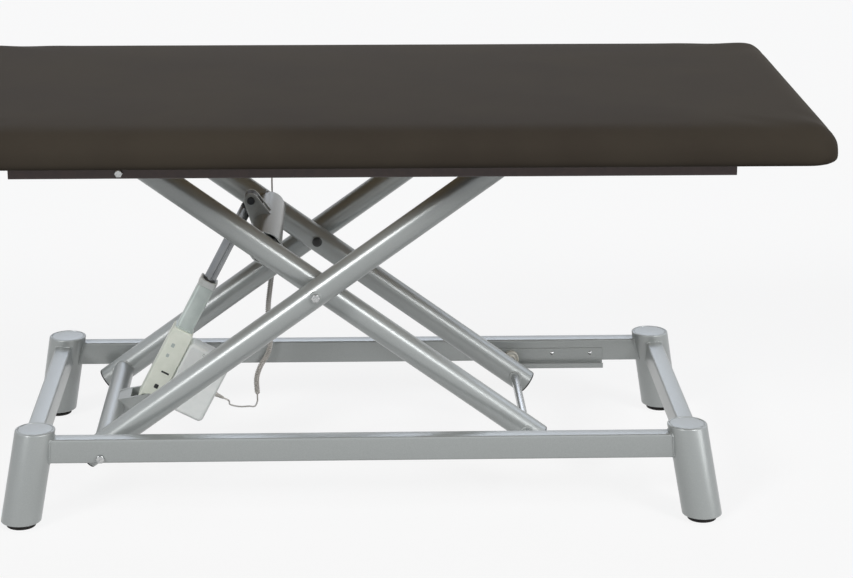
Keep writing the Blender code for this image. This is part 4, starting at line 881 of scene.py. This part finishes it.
rest = rest + moved * np.minimum(1, SWELL / np.maximum(far, 1e-9))
over_board = (np.abs(rest[:, :2]) < PAD[:2] / 2 - BOARD_IN - 0.004).all(1) & (rest[:, 2] < PAD_BASE + 0.02)
rest[over_board, 2] = PAD_BASE + FOLD
pad.data.vertices.foreach_set("co", rest.ravel())
finer_pad = pad.modifiers.new("finer", "SUBSURF")
finer_pad.levels = finer_pad.render_levels = 1

# Cable
# A thin grey cable leaves the control box through a ribbed boot, hangs loose to the floor of the
# base and climbs as a curly cord to a gland on the rear top rail.
CORD = 0.004
CURL, CURLS, PER_CURL = 0.010, 80, 16
COIL_Y = 0.3135
GLAND = (0.022, 0.026)
BOOT_LENGTH, BOOT_ALONG, RIBS = 0.022, 0.073, 5


def smooth_path(points, steps):
    """Points on a curve through the given ones, with no overshoot where these are unevenly spaced.

    A centripetal Catmull-Rom curve: knots lie the root of a distance apart, and straight lines between
    the points are mixed by knot, the mixes are mixed again, and these once more.
    """
    points = np.array(points, float)
    ends = np.vstack([2 * points[:1] - points[1:2], points, 2 * points[-1:] - points[-2:-1]])
    knots = np.cumsum(np.linalg.norm(np.diff(ends, axis=0, prepend=ends[:1]), axis=1) ** 0.5)
    line, knot = ([row[n:len(ends) - 3 + n, None] for n in range(4)] for row in (ends, knots[:, None]))
    at = knot[1] + (knot[2] - knot[1]) * np.linspace(0, 1, steps, endpoint=False)[:, None]
    for reach, first in ((1, 0), (2, 0), (1, 1)):
        line = [((knot[n + reach] - at) * line[n - first] + (at - knot[n]) * line[n - first + 1])
                / (knot[n + reach] - knot[n]) for n in range(first, first + len(line) - 1)]
    return np.vstack([line[0].reshape(-1, 3), points[-1:]])


def cable(name, path, finish, node):
    """A round cable along a path, as a mesh, with its ends closed."""
    curve = bpy.data.curves.new(name, "CURVE")
    curve.dimensions = "3D"
    curve.bevel_depth = CORD / 2
    curve.bevel_resolution = 3
    curve.use_fill_caps = True
    spline = curve.splines.new("POLY")
    spline.points.add(len(path) - 1)
    spline.points.foreach_set("co", np.column_stack([path, np.ones(len(path))]).ravel())
    drawn = put(name + "_line", curve)
    mesh = settled(drawn)
    bpy.data.objects.remove(drawn)
    mesh.shade_smooth()
    material, slot = finish
    mesh.materials.clear()
    mesh.materials.append(material)
    made = put(name, mesh)
    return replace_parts(made, node)


# Soft grey PVC with a slight sheen
pvc = coated("grey_pvc", "#c6c2bc", "#d0ccc6", 0.42, peel=0.003)
gland_at = np.array((BASE_MIDDLE - 0.2110, COIL_Y, TOP_BASE + 0.004 - FIT))
down = -CORD * Z
coil_top = np.array((BASE_MIDDLE - 0.2113, COIL_Y, 0.4400))
route = [coil_top] + [np.array((BASE_MIDDLE + x, COIL_Y, z)) for x, z in (
    (-0.2220, 0.3630), (-0.2300, 0.2850), (-0.2250, 0.2200), (-0.2300, 0.1800), (-0.2520, 0.1400),
    (-0.2615, 0.1100), (-0.2605, 0.0660))]
hanging = smooth_path([gland_at + down, gland_at + 5 * down, (BASE_MIDDLE - 0.2150, COIL_Y, 0.6000),
                       (BASE_MIDDLE - 0.2100, COIL_Y, 0.5000), coil_top - down], 8)
core = smooth_path(route, 24)
run = np.concatenate([[0], np.cumsum(np.linalg.norm(np.diff(core, axis=0), axis=1))])
number = np.arange(CURLS * PER_CURL + 1)
at_run = run[-1] * number / number[-1]
middle = np.stack([np.interp(at_run, run, core[:, n]) for n in range(3)], -1)
way = unit(np.stack([np.interp(at_run, run, np.gradient(core[:, n], run)) for n in range(3)], -1))
across = np.cross(way, Y)
swing = (2 * np.pi * number / PER_CURL)[:, None]
size = CURL / 2 * np.minimum(1, np.minimum(number, number[-1] - number) / PER_CURL)[:, None]
curls = middle + size * (np.cos(swing) * across + np.sin(swing) * np.cross(way, across))
coil_path = np.vstack([gland_at, hanging, curls, curls[-1] + down])
coil = cable("curly_cord", coil_path, pvc, "cable_coil")
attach(coil, "base")
reach = gland_at - coil_path[-1]
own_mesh(coil)

boot_root = np.array((BOX_LOW + BOOT_ALONG, 0, BOX_SIDE - BOX[1] - FIT))
boot_at, boot_way = set_in(boot_root, drive), -drive[1][2]
ribs = [(0.0050 - 0.0013 * n / 4 - dip, 0.006 + 0.0034 * n + far, 0.0003)
        for n in range(RIBS) for dip, far in ((0.0, 0.0), (0.0, 0.0017), (0.0009, 0.0020), (0.0009, 0.0031))]
boot = turned([(0, -0.001), (0.0055, -0.001, 0.0003), (0.0055, 0.004, 0.0008), *ribs,
               (0.0024, BOOT_LENGTH, 0.0003), (0, BOOT_LENGTH)], boot_at, boot_way, 48)
piece("ribbed_boot", capped(boot), pvc, "barrel", "cable_boot")

tip = boot_at + (BOOT_LENGTH + FIT) * boot_way
tail_start = coil_path[-1] - FIT * Z
sag = [np.array((BASE_MIDDLE + x, y, z)) for x, y, z in (
    (-0.3180, 0.090, 0.1180), (-0.2990, 0.165, 0.0860), (-0.2790, 0.235, 0.0620), (-0.2650, 0.290, 0.0440))]
tail_path = smooth_path([tip + CORD * boot_way, tip + 3 * CORD * boot_way, *sag, tail_start + 3 * down,
                         tail_start + down], 16)
tail_path = np.vstack([tip, tail_path, tail_start])
tail = cable("loose_cord", tail_path, pvc, "cable_tail")
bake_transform(tail)

front, back = COIL_Y - GLAND[0] / 4, RAIL_AT[1] - RAIL_WIDTH / 2 - FIT
clamp = box_outline(GLAND[0], GLAND[1] - FIT, 0.002) + (0, (GLAND[1] + FIT) / 2)
clamp = plate(clamp, slab(front, back, 0.0018, 0.0019), (gland_at * (1, 0, 1), np.eye(3)))
nose = turned([(0, 0.004), (0.0042, 0.004), (0.0036, -0.003, 0.0008), (0, -0.003)], gland_at, Z, 40)
piece("cord_gland", capped(clamp, nose), plastic, "top", "cable_gland")

# Camera
# The reference picture's viewpoint: a long lens a little above the table and in front of it.
CAMERA_AT = np.array((-0.0703, -5.4396, 2.0688))
YAW, PITCH, ROLL = 0.0364, 0.2916, -0.0029
forward = np.array((math.sin(YAW) * math.cos(PITCH), math.cos(YAW) * math.cos(PITCH), -math.sin(PITCH)))
right = np.array((math.cos(YAW), -math.sin(YAW), 0))
lower = np.cross(forward, right)
turn, tilt = math.cos(ROLL), math.sin(ROLL)
right, lower = turn * right + tilt * lower, turn * lower - tilt * right
lens = bpy.data.cameras.new("reference_view")
lens.sensor_width = 36.0
lens.lens = 101.25
camera = put("reference_view", lens)
matrix = np.eye(4)
matrix[:3] = np.column_stack([right, -lower, -forward, CAMERA_AT])
camera.matrix_world = Matrix(matrix.tolist())
scene.camera = camera

# Floor
# A wide white floor that runs out of the picture and takes the table's soft shadow. Seen directly
# or in a reflection it is white and part glow; to the light it throws back up it is a mid grey.
GLOW = 0.85


def shown(tree, lit, seen):
    """A value for rays that show the background, straight, in gloss or through a clear piece.

    The greatest of the three ray flags, 0 or 1, is carried to the range from lit to seen.
    """
    ray = add(tree, "LightPath").node.outputs
    flag = ray["Is Camera Ray"]
    for other in ("Is Glossy Ray", "Is Transmission Ray"):
        flag = add(tree, "Math", {"operation": "MAXIMUM"}, {0: flag, 1: ray[other]})
    return add(tree, "MapRange", {"To Min": lit, "To Max": seen}, {"Value": flag})


mesh = bpy.data.meshes.new("studio_floor")
mesh.from_pydata([(-40, -40, 0), (40, -40, 0), (40, 40, 0), (-40, 40, 0)], [], [(0, 1, 2, 3)])
white, tree, shader, at = blank("white_floor")
wire(shader, {"Roughness": 0.9, "Specular IOR Level": 0.0},
     {"Base Color": shown(tree, linear("#a9a9a9")[0], linear("#f6f6f6")[0])})
glow = add(tree, "Emission")
mixed = add(tree, "MixShader", links={0: shown(tree, 0.0, GLOW), 1: shader.outputs[0], 2: glow})
wire(tree.nodes["Material Output"], links={"Surface": mixed})
mesh.materials.append(white)
put("studio_floor", mesh)

# Lights
# Soft suns from the front left and front right draw the bright line along each arm, with a high and a
# low one more at the right. Weak cool ones come from both ends and behind, in a white surround.
LAMPS = {"front_left": (1.25, "#ffffff", 30, -40, 16), "front_right": (0.85, "#ffffff", 30, 40, 16),
         "high_right": (0.42, "#ffffff", 50, 40, 16), "low_right": (0.55, "#ffffff", 12, 65, 28),
         "right_end": (0.3, "#e2ecff", 25, 115, 28), "left_end": (0.12, "#e2ecff", 45, -100, 28),
         "behind": (0.41, "#e2ecff", 35, 180, 28)}
for name, (power, colour, high, round_by, spread) in LAMPS.items():
    lamp = bpy.data.lights.new(name, "SUN")
    lamp.energy = power
    lamp.color = linear(colour)[:3]
    lamp.angle = math.radians(spread)
    hung = put(name, lamp)
    hung.rotation_euler = (math.radians(90 - high), 0, math.radians(round_by))
world = bpy.data.worlds.new("white_surround")
world.use_nodes = True
tree = world.node_tree
wire(tree.nodes["Background"], {"Color": linear("#fafcff")}, {"Strength": shown(tree, 0.08, 0.94)})
scene.world = world
scene.view_settings.view_transform = "Standard"
